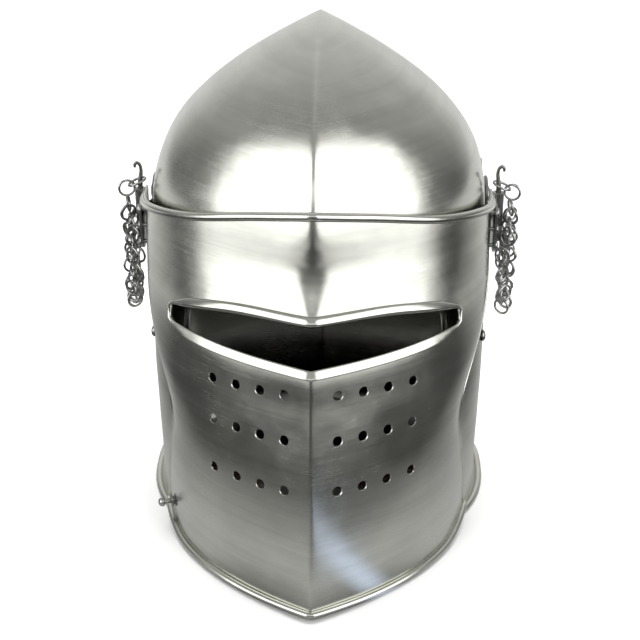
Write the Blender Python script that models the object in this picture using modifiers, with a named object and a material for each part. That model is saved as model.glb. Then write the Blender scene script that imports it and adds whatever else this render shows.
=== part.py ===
"""A pointed knight's helmet with a lifting visor, in separate pieces.

The frame is in metres with +Z up. The visor faces -Y, and +X is the wearer's left. The origin is
the middle of the bounding box, at the level of the rolled rim that the helmet stands on. The skull
and the visor are lofts of level sections. Each section bulges to its widest depth and narrows to a
crease on the middle plane by a power law, so the skull has its ridge and the visor its keel.
"""

import math

import bmesh
import bpy
import numpy as np
from mathutils import Matrix, Vector

MM = 0.001

# Driving dimensions of the skull, the rigid shell of the helmet.
SKULL_SHEET = 1.5 * MM
BROW_Z = 208 * MM
CROWN_RISE = 121.5 * MM
CROWN_POWER = 2.35
SKULL_HALF_WIDTH = 110 * MM
SKULL_FRONT = -88 * MM
SKULL_BACK = 143 * MM
SKULL_WIDEST = 52 * MM
APEX_Y = 56 * MM
RIM_BEAD = 2.7 * MM
RIM_BEAD_Z = 2.0 * MM

# Driving dimensions of the visor.
VISOR_SHEET = 1.2 * MM
TOP_BEAD = 2.8 * MM
FOOT_BEAD = 2.5 * MM
SIDE_BEAD = 1.3 * MM
FLUSH_BEAD = 0.75 * MM
HINGE_FOOT = 172 * MM
LIP_BEAD = 2.7 * MM
SLOT_END = 89 * MM
BREATH_HOLE = 3.0 * MM

# The side pivots, and the hinges with their draw pins.
PIVOT_Y = 60 * MM
PIVOT_Z = 205 * MM
ARM_X = 111.6 * MM
ARM_SHEET = 1.8 * MM
ARM_EYE = 13 * MM
PIN_X = 118.3 * MM
PIN_Y = 33 * MM
PIN_R = 1.7 * MM
KNUCKLE_R = 4.0 * MM
LEAF_X = 114.3 * MM
LEAF_SHEET = 1.6 * MM
KNUCKLES = (183.5 * MM, 194.1 * MM, 194.5 * MM, 205.9 * MM, 206.3 * MM, 217.5 * MM)
LEAF_RIVETS = tuple((11 * MM, z * MM) for z in (189, 200.5, 212))
PIVOT_HOLE = 3.4 * MM
RIVET_HOLE = 1.9 * MM

# The tassels of mail that hang from the pins.
TASSEL_TOP = 216 * MM
TASSEL_FOOT = 131 * MM
TASSEL_INNER = 122.7 * MM
TASSEL_OUTER = 133 * MM
TASSEL_DEPTH = 4 * MM

# The peg on the wearer's right cheek, which locks the visor shut. PEG_GAP is from visor to skull.
PEG_X = -96 * MM
PEG_Z = 22 * MM
PEG_R = 1.8 * MM
PEG_GAP = 13 * MM
PEG_HEAD = 6.2 * MM
PEG_TIP = -10.2 * MM

# The lining and the chin strap.
LEATHER = 2.0 * MM
BAND_LOW = 212 * MM
BAND_HIGH = 238 * MM
BAND_INSET = 2.4 * MM
TONGUES = 8
STRAP_W = 20 * MM
STRAP_T = 2.4 * MM
STRAP_Y = 13 * MM
STRAP_RIVET_Z = 121 * MM
GAP = 0.35 * MM


# Curves and sections.


def smooth(xs, ys):
    """A cubic through the points, with its slopes taken from the neighbours. All in millimetres."""
    xs, ys = np.array(xs, float) * MM, np.array(ys, float)
    slopes = np.gradient(ys, xs)

    def value(x):
        x = min(max(x, xs[0]), xs[-1])
        i = min(max(int(np.searchsorted(xs, x)) - 1, 0), len(xs) - 2)
        h = xs[i + 1] - xs[i]
        t = (x - xs[i]) / h
        rise = (3 - 2 * t) * t * t
        bend = t * (1 - t) * ((1 - t) * slopes[i] - t * slopes[i + 1])
        return float(ys[i] * (1 - rise) + ys[i + 1] * rise + h * bend)

    return value


def lengths(xs, ys):
    """The same cubic, for values that are lengths in millimetres."""
    curve = smooth(xs, ys)
    return lambda x: curve(x) * MM


def blend(a, b, t):
    return a + (b - a) * t


skull_half_width = lengths([0, 10, 25, 60, 110, 160, 208], [115.3, 112.8, 112, 112.8, 114, 112.6, 110])
skull_back = lengths([0, 10, 25, 55, 90, 140, 208], [136, 130, 125.5, 123.5, 126.5, 135.5, 143])
skull_widest = lengths([0, 208], [36, 52])
skull_power = smooth([0, 60, 127, 208], [2.6, 2.75, 2.65, 2.95])

visor_front = lengths(
    [0, 40, 90, 140, 165, 186, 215, 247], [-141, -140, -134, -123, -117, -106, -95, -84.5]
)
visor_half_width = lengths(
    [0, 30, 60, 88, 104, 118, 134, 150, 168, 186, 215, 247],
    [104.8, 103.8, 100.6, 97.6, 99.8, 104.0, 108.6, 111.4, 113.0, 113.4, 113.4, 113],
)
visor_power = smooth(
    [0, 30, 60, 88, 104, 118, 134, 165, 186, 247], [2.85, 3.0, 3.4, 3.8, 3.7, 3.5, 3.3, 3.05, 2.9, 2.9]
)
visor_widest = lengths([0, 250], [23, 43])
visor_rear = lengths(
    [0, 30, 60, 88, 104, 118, 134, 150, 168, 190, 214, 240],
    [-25, -26, -31, -34, -30, -20, -8, 2, 10, 20, 25, 25],
)


def skull_plan(z):
    """Half width, front, back, widest depth, and the powers of the front and back, at height z."""
    if z <= BROW_Z:
        drop = (BROW_Z - z) / BROW_Z
        front = SKULL_FRONT - 8 * MM * drop
        return skull_half_width(z), front, skull_back(z), skull_widest(z), skull_power(z), 2.6 + 0.2 * drop
    climb = min((z - BROW_Z) / CROWN_RISE, 1)
    level = 1 - climb * climb
    reach = math.sqrt(level)
    widest = blend(SKULL_WIDEST, APEX_Y, climb)
    front = widest - (SKULL_WIDEST - SKULL_FRONT) * reach
    back = widest + (SKULL_BACK - SKULL_WIDEST) * reach
    half = SKULL_HALF_WIDTH * (1 - climb**CROWN_POWER)
    return half, front, back, widest, 2.2 + 0.75 * level, 2.0 + 0.6 * level


def evenly(points, count):
    """The polyline resampled at count points, evenly along its length."""
    points = np.array(points)
    steps = np.linalg.norm(np.diff(points, axis=0), axis=1)
    along = np.concatenate([[0], np.cumsum(steps)])
    wanted = np.linspace(0, along[-1], count)
    return np.stack([np.interp(wanted, along, points[:, k]) for k in range(points.shape[1])], axis=1)


def skull_half(z, count, inset=0.0):
    """The section's +X half at height z, from the front crease to the back ridge."""
    half, front, back, widest, front_power, back_power = skull_plan(z)
    half, front, back = half - inset, front + inset, back - inset
    shares = np.sin(np.linspace(-math.pi / 2, math.pi / 2, 121))
    points = []
    for share in shares:
        power = front_power if share < 0 else back_power
        reach = (widest - front) if share < 0 else (back - widest)
        points.append((half * (1 - abs(share) ** power), widest + reach * share))
    return evenly(points, count)


def skull_ring(z, count, inset=0.0):
    """The whole section, anticlockwise from above, starting at the front crease."""
    right = skull_half(z, count, inset)
    left = right[-2:0:-1] * [-1, 1]
    return [Vector((x, y, z)) for x, y in np.concatenate([right, left])]


def skull_at(x, z):
    """The point of the skull's front at sideways place x and height z."""
    half, front, _, widest, power, _ = skull_plan(z)
    share = (1 - min(abs(x) / half, 1)) ** (1 / power)
    return Vector((x, widest - (widest - front) * share, z))


def visor_at(x, z):
    """The point of the visor at sideways place x and height z."""
    widest, front = visor_widest(z), visor_front(z)
    share = (1 - min(abs(x) / visor_half_width(z), 1)) ** (1 / visor_power(z))
    return Vector((x, widest - (widest - front) * share, z))


def outward(surface, x, z):
    """The outward normal of a front surface that gives its point from x and z."""
    step = 0.2 * MM
    side = surface(x + step, z) - surface(x - step, z)
    rise = surface(x, z + step) - surface(x, z - step)
    return side.cross(rise).normalized()


def visor_half(z, count):
    """The visor's +X half at height z, from the keel to the rear edge."""
    widest, front = visor_widest(z), visor_front(z)
    rear = visor_rear(z)
    points = []
    for y in np.linspace(front, rear, 121):
        share = max((widest - y) / (widest - front), 0)
        points.append((visor_half_width(z) * (1 - share ** visor_power(z)), y))
    return evenly(points, count)


visor_foot = lengths([0, 300, 600, 780, 880, 1000], [5, 3.5, 3.3, 4.8, 8.6, 11])
visor_top = lengths([0, 250, 500, 700, 850, 1000], [248.5, 241.8, 232.8, 226.6, 222, 222])


def visor_grid(columns, rows):
    """Rows of points over the +X half, from foot to top; share 0 is the keel and 1 the rear edge."""
    grid = []
    for row in range(rows):
        line = []
        for column in range(columns):
            share = column / (columns - 1)
            z = blend(visor_foot(share), visor_top(share), row / (rows - 1))
            x, y = visor_half(z, columns)[column]
            line.append(Vector((x, y, z)))
        grid.append(line)
    return grid


# Scene helpers.


def clear_scene():
    for obj in list(bpy.data.objects):
        bpy.data.objects.remove(obj, do_unlink=True)


def collection(name):
    made = bpy.data.collections.new(name)
    bpy.context.scene.collection.children.link(made)
    return made


def material(name, colour, roughness, metallic):
    made = bpy.data.materials.new(name)
    made.use_nodes = True
    shader = made.node_tree.nodes["Principled BSDF"]
    shader.inputs["Base Color"].default_value = (*colour, 1)
    shader.inputs["Roughness"].default_value = roughness
    shader.inputs["Metallic"].default_value = metallic
    return made


clear_scene()
HELMET = collection("knight_helmet")
CUTTERS = collection("cutters")
STEEL = material("polished_steel", (0.62, 0.62, 0.60), 0.28, 1.0)
DARK_STEEL = material("dark_steel", (0.30, 0.29, 0.28), 0.40, 1.0)
RIVET_STEEL = material("rivet_steel", (0.45, 0.44, 0.42), 0.35, 1.0)
HIDE = material("leather", (0.20, 0.11, 0.06), 0.65, 0.0)
LACE = material("lace", (0.36, 0.27, 0.17), 0.80, 0.0)


def add(name, mesh, finish, matrix=Matrix.Identity(4), helper=False):
    """An object for the mesh; a helper is a cutter or a guide and is no piece of the helmet."""
    obj = bpy.data.objects.new(name, mesh)
    obj.matrix_world = matrix
    (CUTTERS if helper else HELMET).objects.link(obj)
    if helper:
        obj.hide_render = True
        obj.display_type = "WIRE"
    else:
        mesh.materials.append(finish)
        mesh.shade_smooth()
        mesh.set_sharp_from_angle(angle=math.radians(35))
    return obj


def curve_mesh(curve):
    """The curve as a closed mesh, its caps welded on."""
    guide = bpy.data.objects.new("guide", curve)
    CUTTERS.objects.link(guide)
    bpy.context.view_layer.update()
    evaluated = guide.evaluated_get(bpy.context.evaluated_depsgraph_get())
    mesh = bpy.data.meshes.new_from_object(evaluated)
    bpy.data.objects.remove(guide, do_unlink=True)
    work = bmesh.new()
    work.from_mesh(mesh)
    bmesh.ops.remove_doubles(work, verts=work.verts, dist=0.01 * MM)
    bmesh.ops.recalc_face_normals(work, faces=work.faces)
    work.to_mesh(mesh)
    work.free()
    return mesh


def tube_mesh(points, radius, closed=False, sides=1, radii=None):
    """A round bar along the points; radii scales it at each one."""
    curve = bpy.data.curves.new("tube", "CURVE")
    curve.dimensions = "3D"
    curve.bevel_depth = radius
    curve.bevel_resolution = sides
    curve.use_fill_caps = not closed
    spline = curve.splines.new("POLY")
    spline.points.add(len(points) - 1)
    for i, point in enumerate(points):
        spline.points[i].co = (*point, 1)
        spline.points[i].radius = radii[i] if radii else 1
    spline.use_cyclic_u = closed
    return curve_mesh(curve)


def plate_mesh(outline, thickness):
    """A flat plate of the outline in XY, centred on Z = 0."""
    curve = bpy.data.curves.new("plate", "CURVE")
    curve.dimensions = "2D"
    curve.fill_mode = "BOTH"
    curve.extrude = thickness / 2
    spline = curve.splines.new("POLY")
    spline.points.add(len(outline) - 1)
    for point, (x, y) in zip(spline.points, outline):
        point.co = (x, y, 0, 1)
    spline.use_cyclic_u = True
    return curve_mesh(curve)


def rod_mesh(radius, length, sides=16):
    """A cylinder along Z, centred."""
    mesh = bpy.data.meshes.new("rod")
    work = bmesh.new()
    bmesh.ops.create_cone(
        work, cap_ends=True, segments=sides, radius1=radius, radius2=radius, depth=length
    )
    work.to_mesh(mesh)
    work.free()
    return mesh


def sheet(name, rows, thickness, finish, closed_round=False, tip=None):
    """A loft through rows of points, given thickness on its inner side."""
    mesh = bpy.data.meshes.new(name)
    work = bmesh.new()
    lines = [[work.verts.new(point) for point in row] for row in rows]
    width = len(rows[0])
    spans = range(width) if closed_round else range(width - 1)
    for low, high in zip(lines, lines[1:]):
        for i in spans:
            j = (i + 1) % width
            work.faces.new((low[i], low[j], high[j], high[i]))
    if tip:
        top = work.verts.new(tip)
        for i in spans:
            work.faces.new((lines[-1][i], lines[-1][(i + 1) % width], top))
    work.to_mesh(mesh)
    work.free()
    obj = add(name, mesh, finish)
    solid = obj.modifiers.new("thickness", "SOLIDIFY")
    solid.thickness = thickness
    solid.offset = -1
    solid.use_even_offset = True
    return obj


def boolean(obj, other, operation):
    step = obj.modifiers.new(other.name, "BOOLEAN")
    step.operation = operation
    step.solver = "EXACT"
    step.object = other


def join(obj, name, mesh, matrix=Matrix.Identity(4)):
    boolean(obj, add(name, mesh, None, matrix, helper=True), "UNION")


def cut(obj, name, mesh, matrix=Matrix.Identity(4)):
    boolean(obj, add(name, mesh, None, matrix, helper=True), "DIFFERENCE")


def facing(place, direction):
    """A matrix that puts local Z along the direction, at the place."""
    turn = Vector(direction).to_track_quat("Z", "Y").to_matrix().to_4x4()
    return Matrix.Translation(place) @ turn


def turned(name, profile, finish, matrix, steps=8):
    """A turned piece: the profile of (radius, height) runs from the top down its outer side."""
    mesh = bpy.data.meshes.new(name)
    points = [(radius, 0, height) for radius, height in profile]
    mesh.from_pydata(points, [(i, i + 1) for i in range(len(points) - 1)], [])
    obj = add(name, mesh, finish, matrix)
    screw = obj.modifiers.new("turn", "SCREW")
    screw.steps = steps
    screw.render_steps = steps
    screw.use_merge_vertices = True
    screw.merge_threshold = 0.01 * MM
    screw.use_smooth_shade = True
    return obj


def washer(name, finish, matrix, outer, inner, thickness, steps=16):
    """A flat ring whose lower face is at the matrix's origin."""
    lifted = matrix @ Matrix.Translation((0, 0, thickness / 2))
    obj = add(name, rod_mesh(outer, thickness, steps), finish, lifted)
    cut(obj, name + "_hole", rod_mesh(inner, thickness * 3, max(steps, 14)), obj.matrix_world)
    return obj


def domed(head, rise, shank, reach, peen):
    """A rivet's profile: a dome above zero, a shank of the given reach, and a peened end."""
    arc = [(head * math.sin(a), rise * math.cos(a)) for a in np.linspace(0, math.pi / 2, 4)]
    tip = -reach - 0.7 * MM
    end = [(shank, 0), (shank, -reach), (peen, -reach), (peen * 0.8, tip), (0, tip)]
    return [(float(r), float(h)) for r, h in arc + end]


# The skull.


def face_outline():
    """The face opening's edge on the +X side, from below the rim up to its middle, as (x, z)."""
    steps = [0, 1, 2, 3, 4, 5, 6, 7, 8, 9]
    across = lengths(steps, [93, 83, 78, 79, 82, 83, 80, 68, 38, 0])
    height = lengths(steps, [-8, 2.4, 14, 45, 85, 130, 168, 190, 202, 204])
    return [(across(t * MM), height(t * MM)) for t in np.linspace(0, 9, 28)]


def skull_liner_holes(obj):
    for name, place, direction in liner_rivet_places() + strap_rivet_places():
        cut(obj, obj.name + "_" + name, rod_mesh(RIVET_HOLE, 16 * MM, 10), facing(place, direction))


def liner_rivet_places():
    """Five rivets round the back of the skull, at the lining band's mid height."""
    z = (BAND_LOW + BAND_HIGH) / 2
    ring = skull_ring(z, 61)
    places = []
    for number, share in enumerate((0.30, 0.40, 0.50, 0.60, 0.70), 1):
        i = round(share * len(ring))
        along = ring[(i + 1) % len(ring)] - ring[i - 1]
        direction = along.cross(Vector((0, 0, 1))).normalized()
        places.append((f"liner_rivet_{number}", ring[i], direction))
    return places


def strap_rivet_places():
    places = []
    for side, sign in (("left", 1), ("right", -1)):
        half = skull_half(STRAP_RIVET_Z, 201)
        x = float(np.interp(STRAP_Y, half[:, 1], half[:, 0]))
        place = Vector((sign * x, STRAP_Y, STRAP_RIVET_Z))
        places.append((f"{side}_strap_rivet", place, Vector((sign, 0, 0))))
    return places


def peg_frame():
    """The place on the visor where the peg goes through, and its inward direction."""
    place = visor_at(PEG_X, PEG_Z)
    direction = outward(visor_at, PEG_X, PEG_Z)
    return place, Vector((-direction.x, -direction.y, 0)).normalized()


def make_skull():
    levels = [0, 5, 12, 25, 45, 70, 95, 120, 145, 170, 190, 208]
    heights = [level * MM for level in levels]
    heights += [BROW_Z + CROWN_RISE * math.sin(math.radians(a)) for a in (10, 20, 30, 41, 52, 63, 73, 82)]
    rings = [skull_ring(z, 15) for z in heights]
    apex = Vector((0, APEX_Y, BROW_Z + CROWN_RISE))
    skull = sheet("skull", rings, SKULL_SHEET, STEEL, closed_round=True, tip=apex)
    edge = face_outline()
    outline = edge + [(-x, z) for x, z in edge[-2::-1]]
    stand = Matrix.Translation((0, -90 * MM, 0)) @ Matrix.Rotation(math.radians(90), 4, "X")
    cut(skull, "face_cutter", plate_mesh(outline, 220 * MM), stand)
    join(skull, "skull_bead", tube_mesh(skull_edge(), RIM_BEAD, closed=True))
    floor = rod_mesh(200 * MM, 40 * MM, 8)
    cut(skull, "floor_cutter", floor, Matrix.Translation((0, 0, -20 * MM)))
    for sign in (-1, 1):
        place = (sign * SKULL_HALF_WIDTH, PIVOT_Y, PIVOT_Z)
        cut(skull, "pivot_cutter", rod_mesh(PIVOT_HOLE, 16 * MM), facing(place, (1, 0, 0)))
    skull_liner_holes(skull)
    place, inward = peg_frame()
    cut(skull, "peg_hole", rod_mesh(PEG_R + 0.8 * MM, 18 * MM), facing(place + inward * PEG_GAP, inward))
    return skull


def skull_edge():
    """The bead's middle line: round the rim, then up one side of the face opening and down the other."""
    climb = []
    for x, z in face_outline():
        if z > 4 * MM:
            point = skull_at(x, z)
            climb.append(point + outward(skull_at, x, z) * 0.4 * MM)
    over = [Vector((-p.x, p.y, p.z)) for p in climb[-2::-1]]
    corner = climb[0].y + 7 * MM
    rim = rim_from_right([p for p in skull_ring(RIM_BEAD_Z, 41) if p.y > corner])
    return climb + over + rim


def rim_from_right(rim):
    """The rim's points in order from the -X end round the back to the +X end, moved out by a little."""
    rim.sort(key=lambda p: math.atan2(p.x, p.y - SKULL_WIDEST))
    return [p + Vector((p.x, p.y - SKULL_WIDEST, 0)).normalized() * 1.2 * MM for p in rim]


# The visor.


def visor_outline():
    """The visor's edge with a bead radius at each point, once round from the foot of the keel."""
    grid = visor_grid(13, 14)
    foot = [(p, FOOT_BEAD) for p in grid[0]]
    side = [(row[-1], SIDE_BEAD if row[-1].z < HINGE_FOOT else FLUSH_BEAD) for row in grid[1:-1]]
    fade = [1.0 * MM, 2.2 * MM]
    top = [(p, radius) for p, radius in zip(reversed(grid[-1]), fade + [TOP_BEAD] * 20)]
    half = foot + side + top
    other = [(Vector((-p.x, p.y, p.z)), radius) for p, radius in half[-2:0:-1]]
    return half + other


def slot_outline(spare=0.0):
    """The eye slot's edge as (x, z), anticlockwise, grown by spare."""
    end = SLOT_END + spare
    low, high = -spare, spare
    upper = lengths([0, 50, 89], [187, 184, 175])
    lower = lengths([0, 50, 89], [165, 165.3, 166.2])
    xs = np.linspace(0, 1, 8)
    top = [(x * end, upper(min(x * end, SLOT_END)) + high) for x in xs]
    foot = [(x * end, lower(min(x * end, SLOT_END)) + low) for x in xs]
    right = foot + top[::-1]
    left = [(-x, z) for x, z in right[-2:0:-1]]
    return right + left


def breath_holes():
    """Four holes a row on each side, in three rows that fall outwards."""
    rows = ((147, 143), (119.5, 117), (88, 85))
    places = []
    for inner, outer in rows:
        for k in range(4):
            x = (16 + 15 * k) * MM
            z = blend(inner, outer, k / 3) * MM
            places += [(x, z), (-x, z)]
    return places


def make_visor():
    half = visor_grid(12, 11)
    rows = [[Vector((-p.x, p.y, p.z)) for p in row[:0:-1]] + row for row in half]
    visor = sheet("visor", rows, VISOR_SHEET, STEEL)
    edge = visor_outline()
    radii = [radius / FOOT_BEAD for _, radius in edge]
    bead = []
    for point, radius in edge:
        away = Vector((point.x, point.y - PIVOT_Y, 0)).normalized()
        bead.append(point + away * (radius - VISOR_SHEET))
    join(visor, "visor_bead", tube_mesh(bead, FOOT_BEAD, closed=True, radii=radii))
    lip = []
    for x, z in slot_outline(LIP_BEAD):
        lip.append(visor_at(x, z) + outward(visor_at, x, z) * (LIP_BEAD - VISOR_SHEET))
    join(visor, "slot_bead", tube_mesh(lip, LIP_BEAD, closed=True))
    stand = Matrix.Translation((0, -100 * MM, 0)) @ Matrix.Rotation(math.radians(90), 4, "X")
    cut(visor, "slot_cutter", plate_mesh(slot_outline(), 160 * MM), stand)
    for number, (x, z) in enumerate(breath_holes()):
        frame = facing(visor_at(x, z), outward(visor_at, x, z))
        cut(visor, f"breath_{number}", rod_mesh(BREATH_HOLE, 10 * MM, 6), frame)
    place, inward = peg_frame()
    cut(visor, "visor_peg_hole", rod_mesh(3.1 * MM, 10 * MM), facing(place, inward))
    for side in (-1, 1):
        for y, z in LEAF_RIVETS:
            place = facing((side * 112 * MM, y, z), (1, 0, 0))
            cut(visor, "leaf_hole", rod_mesh(1.8 * MM, 16 * MM, 10), place)
    return visor


# The pivot arms, hinges and draw pins, made once for each side.


def upright(x):
    """Turns a plate drawn in (y, z) so that it stands across X at the place x."""
    return Matrix.Translation((x, 0, 0)) @ Matrix(((0, 0, 1, 0), (1, 0, 0, 0), (0, 1, 0, 0), (0, 0, 0, 1)))


def join_knuckle(obj, sign, low, high):
    place = Matrix.Translation((sign * PIN_X, PIN_Y, (low + high) / 2))
    join(obj, obj.name + "_knuckle", rod_mesh(KNUCKLE_R, high - low), place)


def cut_bore(obj, sign):
    place = Matrix.Translation((sign * PIN_X, PIN_Y, (KNUCKLES[0] + KNUCKLES[-1]) / 2))
    cut(obj, obj.name + "_bore", rod_mesh(PIN_R + 0.35 * MM, 60 * MM), place)


def make_leaf(side, sign):
    """The visor's half of the hinge: a plate with an upper and a lower knuckle."""
    a, b, c, d, e, f = KNUCKLES
    notch = PIN_Y - KNUCKLE_R - 0.5 * MM
    outline = [(PIN_Y, a), (PIN_Y, b), (notch, b), (notch, e), (PIN_Y, e), (PIN_Y, f)]
    outline += [(12 * MM, f), (6 * MM, f - 4 * MM), (6 * MM, a + 4 * MM), (12 * MM, a)]
    stand = upright(sign * (LEAF_X + LEAF_SHEET / 2))
    leaf = add(side + "_visor_leaf", plate_mesh(outline, LEAF_SHEET), STEEL, stand)
    join_knuckle(leaf, sign, a, b)
    join_knuckle(leaf, sign, e, f)
    cut_bore(leaf, sign)
    for y, z in LEAF_RIVETS:
        place = facing((sign * LEAF_X, y, z), (1, 0, 0))
        cut(leaf, leaf.name + "_hole", rod_mesh(1.8 * MM, 16 * MM, 10), place)


def make_arm(side, sign):
    """The pivot arm: an eye on the pivot bolt, a strap stepped outwards, and the hinge's middle knuckle."""
    low, high = KNUCKLES[2], KNUCKLES[3]
    step = LEAF_X - ARM_X
    near, far = PIN_Y + KNUCKLE_R + 1 * MM, PIVOT_Y
    plan = [(ARM_X, far), (ARM_X, near + 5 * MM), (ARM_X + step, near), (ARM_X + step, PIN_Y)]
    plan += [(x + ARM_SHEET, y) for x, y in reversed(plan)]
    plan = [(sign * x, y) for x, y in plan]
    strap = Matrix.Translation((0, 0, (low + high) / 2))
    arm = add(side + "_pivot_arm", plate_mesh(plan, high - low), DARK_STEEL, strap)
    eye = facing((sign * (ARM_X + ARM_SHEET / 2), PIVOT_Y, PIVOT_Z), (1, 0, 0))
    join(arm, arm.name + "_eye", rod_mesh(ARM_EYE, ARM_SHEET, 28), eye)
    join_knuckle(arm, sign, low, high)
    cut_bore(arm, sign)
    cut(arm, arm.name + "_hole", rod_mesh(PIVOT_HOLE, 16 * MM), eye)


def make_pivot(side, sign):
    """The bolt that the arm turns on, its washer against the skull, and its nut inside."""
    head = ARM_X + ARM_SHEET + GAP
    frame = facing((sign * head, PIVOT_Y, PIVOT_Z), (sign, 0, 0))
    arc = [(6.0 * MM * math.sin(a), 2.6 * MM * math.cos(a)) for a in np.linspace(0, math.pi / 2, 5)]
    profile = [(float(r), float(h)) for r, h in arc]
    profile += [(3.0 * MM, 0), (3.0 * MM, -12.4 * MM), (0, -12.4 * MM)]
    turned(side + "_pivot_bolt", profile, RIVET_STEEL, frame, 14)
    spacer = facing((sign * (ARM_X - 1.0 * MM), PIVOT_Y, PIVOT_Z), (sign, 0, 0))
    washer(side + "_pivot_washer", DARK_STEEL, spacer, 6.5 * MM, PIVOT_HOLE, 0.7 * MM)
    nut = facing((sign * 103.4 * MM, PIVOT_Y, PIVOT_Z), (sign, 0, 0))
    washer(side + "_pivot_nut", DARK_STEEL, nut, 5.6 * MM, 3.45 * MM, 3.0 * MM, 6)


def make_leaf_rivets(side, sign):
    for number, (y, z) in enumerate(LEAF_RIVETS, 1):
        frame = facing((sign * (LEAF_X + LEAF_SHEET + GAP), y, z), (sign, 0, 0))
        profile = domed(3.2 * MM, 1.6 * MM, 1.45 * MM, 5.6 * MM, 1.45 * MM)
        turned(f"{side}_leaf_rivet_{number}", profile, RIVET_STEEL, frame)


def make_pin(side, sign):
    """The draw pin with its hooked top, and the ring that hangs the tassel on it."""
    hook = [(0, 180.5), (0, 202), (0, 220), (-0.6, 226), (-1.1, 230)]
    hook += [(-0.6, 233.5), (1.2, 235.2), (2.7, 234.2), (2.9, 232)]
    points = [(sign * (PIN_X + x * MM), PIN_Y, z * MM) for x, z in hook]
    radii = [1, 1, 1, 1, 0.85, 0.75, 0.7, 0.65, 0.6]
    add(side + "_pin", tube_mesh(points, PIN_R, sides=3, radii=radii), DARK_STEEL)
    reach, tilt = 5.6 * MM, 2.2 * MM
    loop = []
    for turn in np.linspace(0, 2 * math.pi, 20, endpoint=False):
        x = PIN_X + 2.1 * MM + reach * math.cos(turn)
        loop.append((sign * x, PIN_Y + reach * math.sin(turn), 222 * MM - tilt * math.cos(turn)))
    add(side + "_pin_ring", tube_mesh(loop, 0.75 * MM, closed=True, sides=1), DARK_STEEL)


def make_tassel(side, sign):
    """The bunch of mail below the pin, as a plain slab that tapers to its foot."""
    inner, outer = TASSEL_INNER, TASSEL_OUTER
    outline = [(inner, TASSEL_TOP), (inner, TASSEL_FOOT + 14 * MM), (inner + 2 * MM, TASSEL_FOOT)]
    outline += [(outer - 3 * MM, TASSEL_FOOT), (outer, TASSEL_FOOT + 22 * MM)]
    outline += [(outer, TASSEL_TOP - 20 * MM), (inner + 5 * MM, TASSEL_TOP)]
    outline = [(sign * x, z) for x, z in outline]
    stand = Matrix.Translation((0, PIN_Y, 0)) @ Matrix.Rotation(math.radians(90), 4, "X")
    add(side + "_tassel", plate_mesh(outline, TASSEL_DEPTH), DARK_STEEL, stand)


# The peg.


def make_peg():
    """The push peg, shown drawn out, and the bush in the visor that guides it."""
    place, inward = peg_frame()
    frame = facing(place, -inward)
    head = [(0, 4.5), (1.6, 4.2), (2.8, 3.3), (3.2, 2.0), (2.8, 0.8), (1.8, 0)]
    profile = [(r * MM, PEG_HEAD + h * MM) for r, h in head]
    profile += [(PEG_R, PEG_TIP + 1 * MM), (PEG_R - 0.6 * MM, PEG_TIP), (0, PEG_TIP)]
    turned("cheek_peg", profile, RIVET_STEEL, frame, 14)
    flange, sleeve, bore = 4.6 * MM, 2.75 * MM, PEG_R + 0.3 * MM
    outside = frame @ Matrix.Translation((0, 0, 1.6 * MM))
    through = frame @ Matrix.Translation((0, 0, -0.6 * MM))
    bush = add("peg_bush", rod_mesh(flange, 1.0 * MM, 14), DARK_STEEL, outside)
    join(bush, "bush_sleeve", rod_mesh(sleeve, 5.2 * MM, 14), through)
    cut(bush, "bush_bore", rod_mesh(bore, 14 * MM, 14), frame)


# The lining.


def make_band():
    """The leather band inside the brow, held by five rivets round the back."""
    inset = SKULL_SHEET + BAND_INSET
    rows = [skull_ring(z, 17, inset) for z in (BAND_LOW, (BAND_LOW + BAND_HIGH) / 2, BAND_HIGH)]
    band = sheet("liner_band", rows, LEATHER, HIDE, closed_round=True)
    for name, place, direction in liner_rivet_places():
        cut(band, "band_" + name, rod_mesh(RIVET_HOLE, 24 * MM, 10), facing(place, direction))


def tongue_point(share, climb):
    """A point of the tongues' dome: share goes round the section and climb from the band to the lace."""
    inset = SKULL_SHEET + BAND_INSET + LEATHER + 2.8 * MM
    ring = skull_ring(226 * MM, 41, inset)
    place = share % 1 * len(ring)
    i = int(place)
    edge = ring[i].lerp(ring[(i + 1) % len(ring)], place - i)
    angle = math.radians(78) * climb
    centre = Vector((0, SKULL_WIDEST, 0))
    flat = centre + (Vector((edge.x, edge.y, 0)) - centre) * math.cos(angle)
    return Vector((flat.x, flat.y, 231 * MM + 56 * MM * math.sin(angle)))


def make_tongues():
    for number in range(TONGUES):
        middle = (number + 0.5) / TONGUES
        rows = []
        for climb in np.linspace(0, 1, 6):
            spread = blend(0.46, 0.40, climb) / TONGUES
            rows.append([tongue_point(middle + spread * side, climb) for side in (-1, -0.33, 0.33, 1)])
        sheet(f"liner_tongue_{number + 1}", rows, LEATHER, HIDE)


def make_lace():
    """The lace that gathers the tongues, lying on their inner side."""
    below = Vector((0, 0, 5.0 * MM))
    ring = [tongue_point(share, 0.93) - below for share in np.linspace(0, 1, 20, endpoint=False)]
    add("crown_lace", tube_mesh(ring, 1.2 * MM, closed=True, sides=1), LACE)


def make_liner_rivets():
    for name, place, direction in liner_rivet_places():
        frame = facing(place + direction * GAP, direction)
        turned(name, domed(3.6 * MM, 1.8 * MM, 1.5 * MM, 10.2 * MM, 1.5 * MM), RIVET_STEEL, frame)
        inside = facing(place - direction * (SKULL_SHEET + BAND_INSET + LEATHER + 3.3 * MM), direction)
        washer(name.replace("rivet", "burr"), DARK_STEEL, inside, 4.2 * MM, RIVET_HOLE, 0.9 * MM, 10)


# The chin strap.


def strap(name, route, width, thickness):
    """A flat strap that follows a route of (x, z), its width along Y."""
    rows = [[Vector((x, STRAP_Y + side * width / 2, z)) for side in (-1, 1)] for x, z in route]
    return sheet(name, rows, thickness, HIDE)


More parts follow.
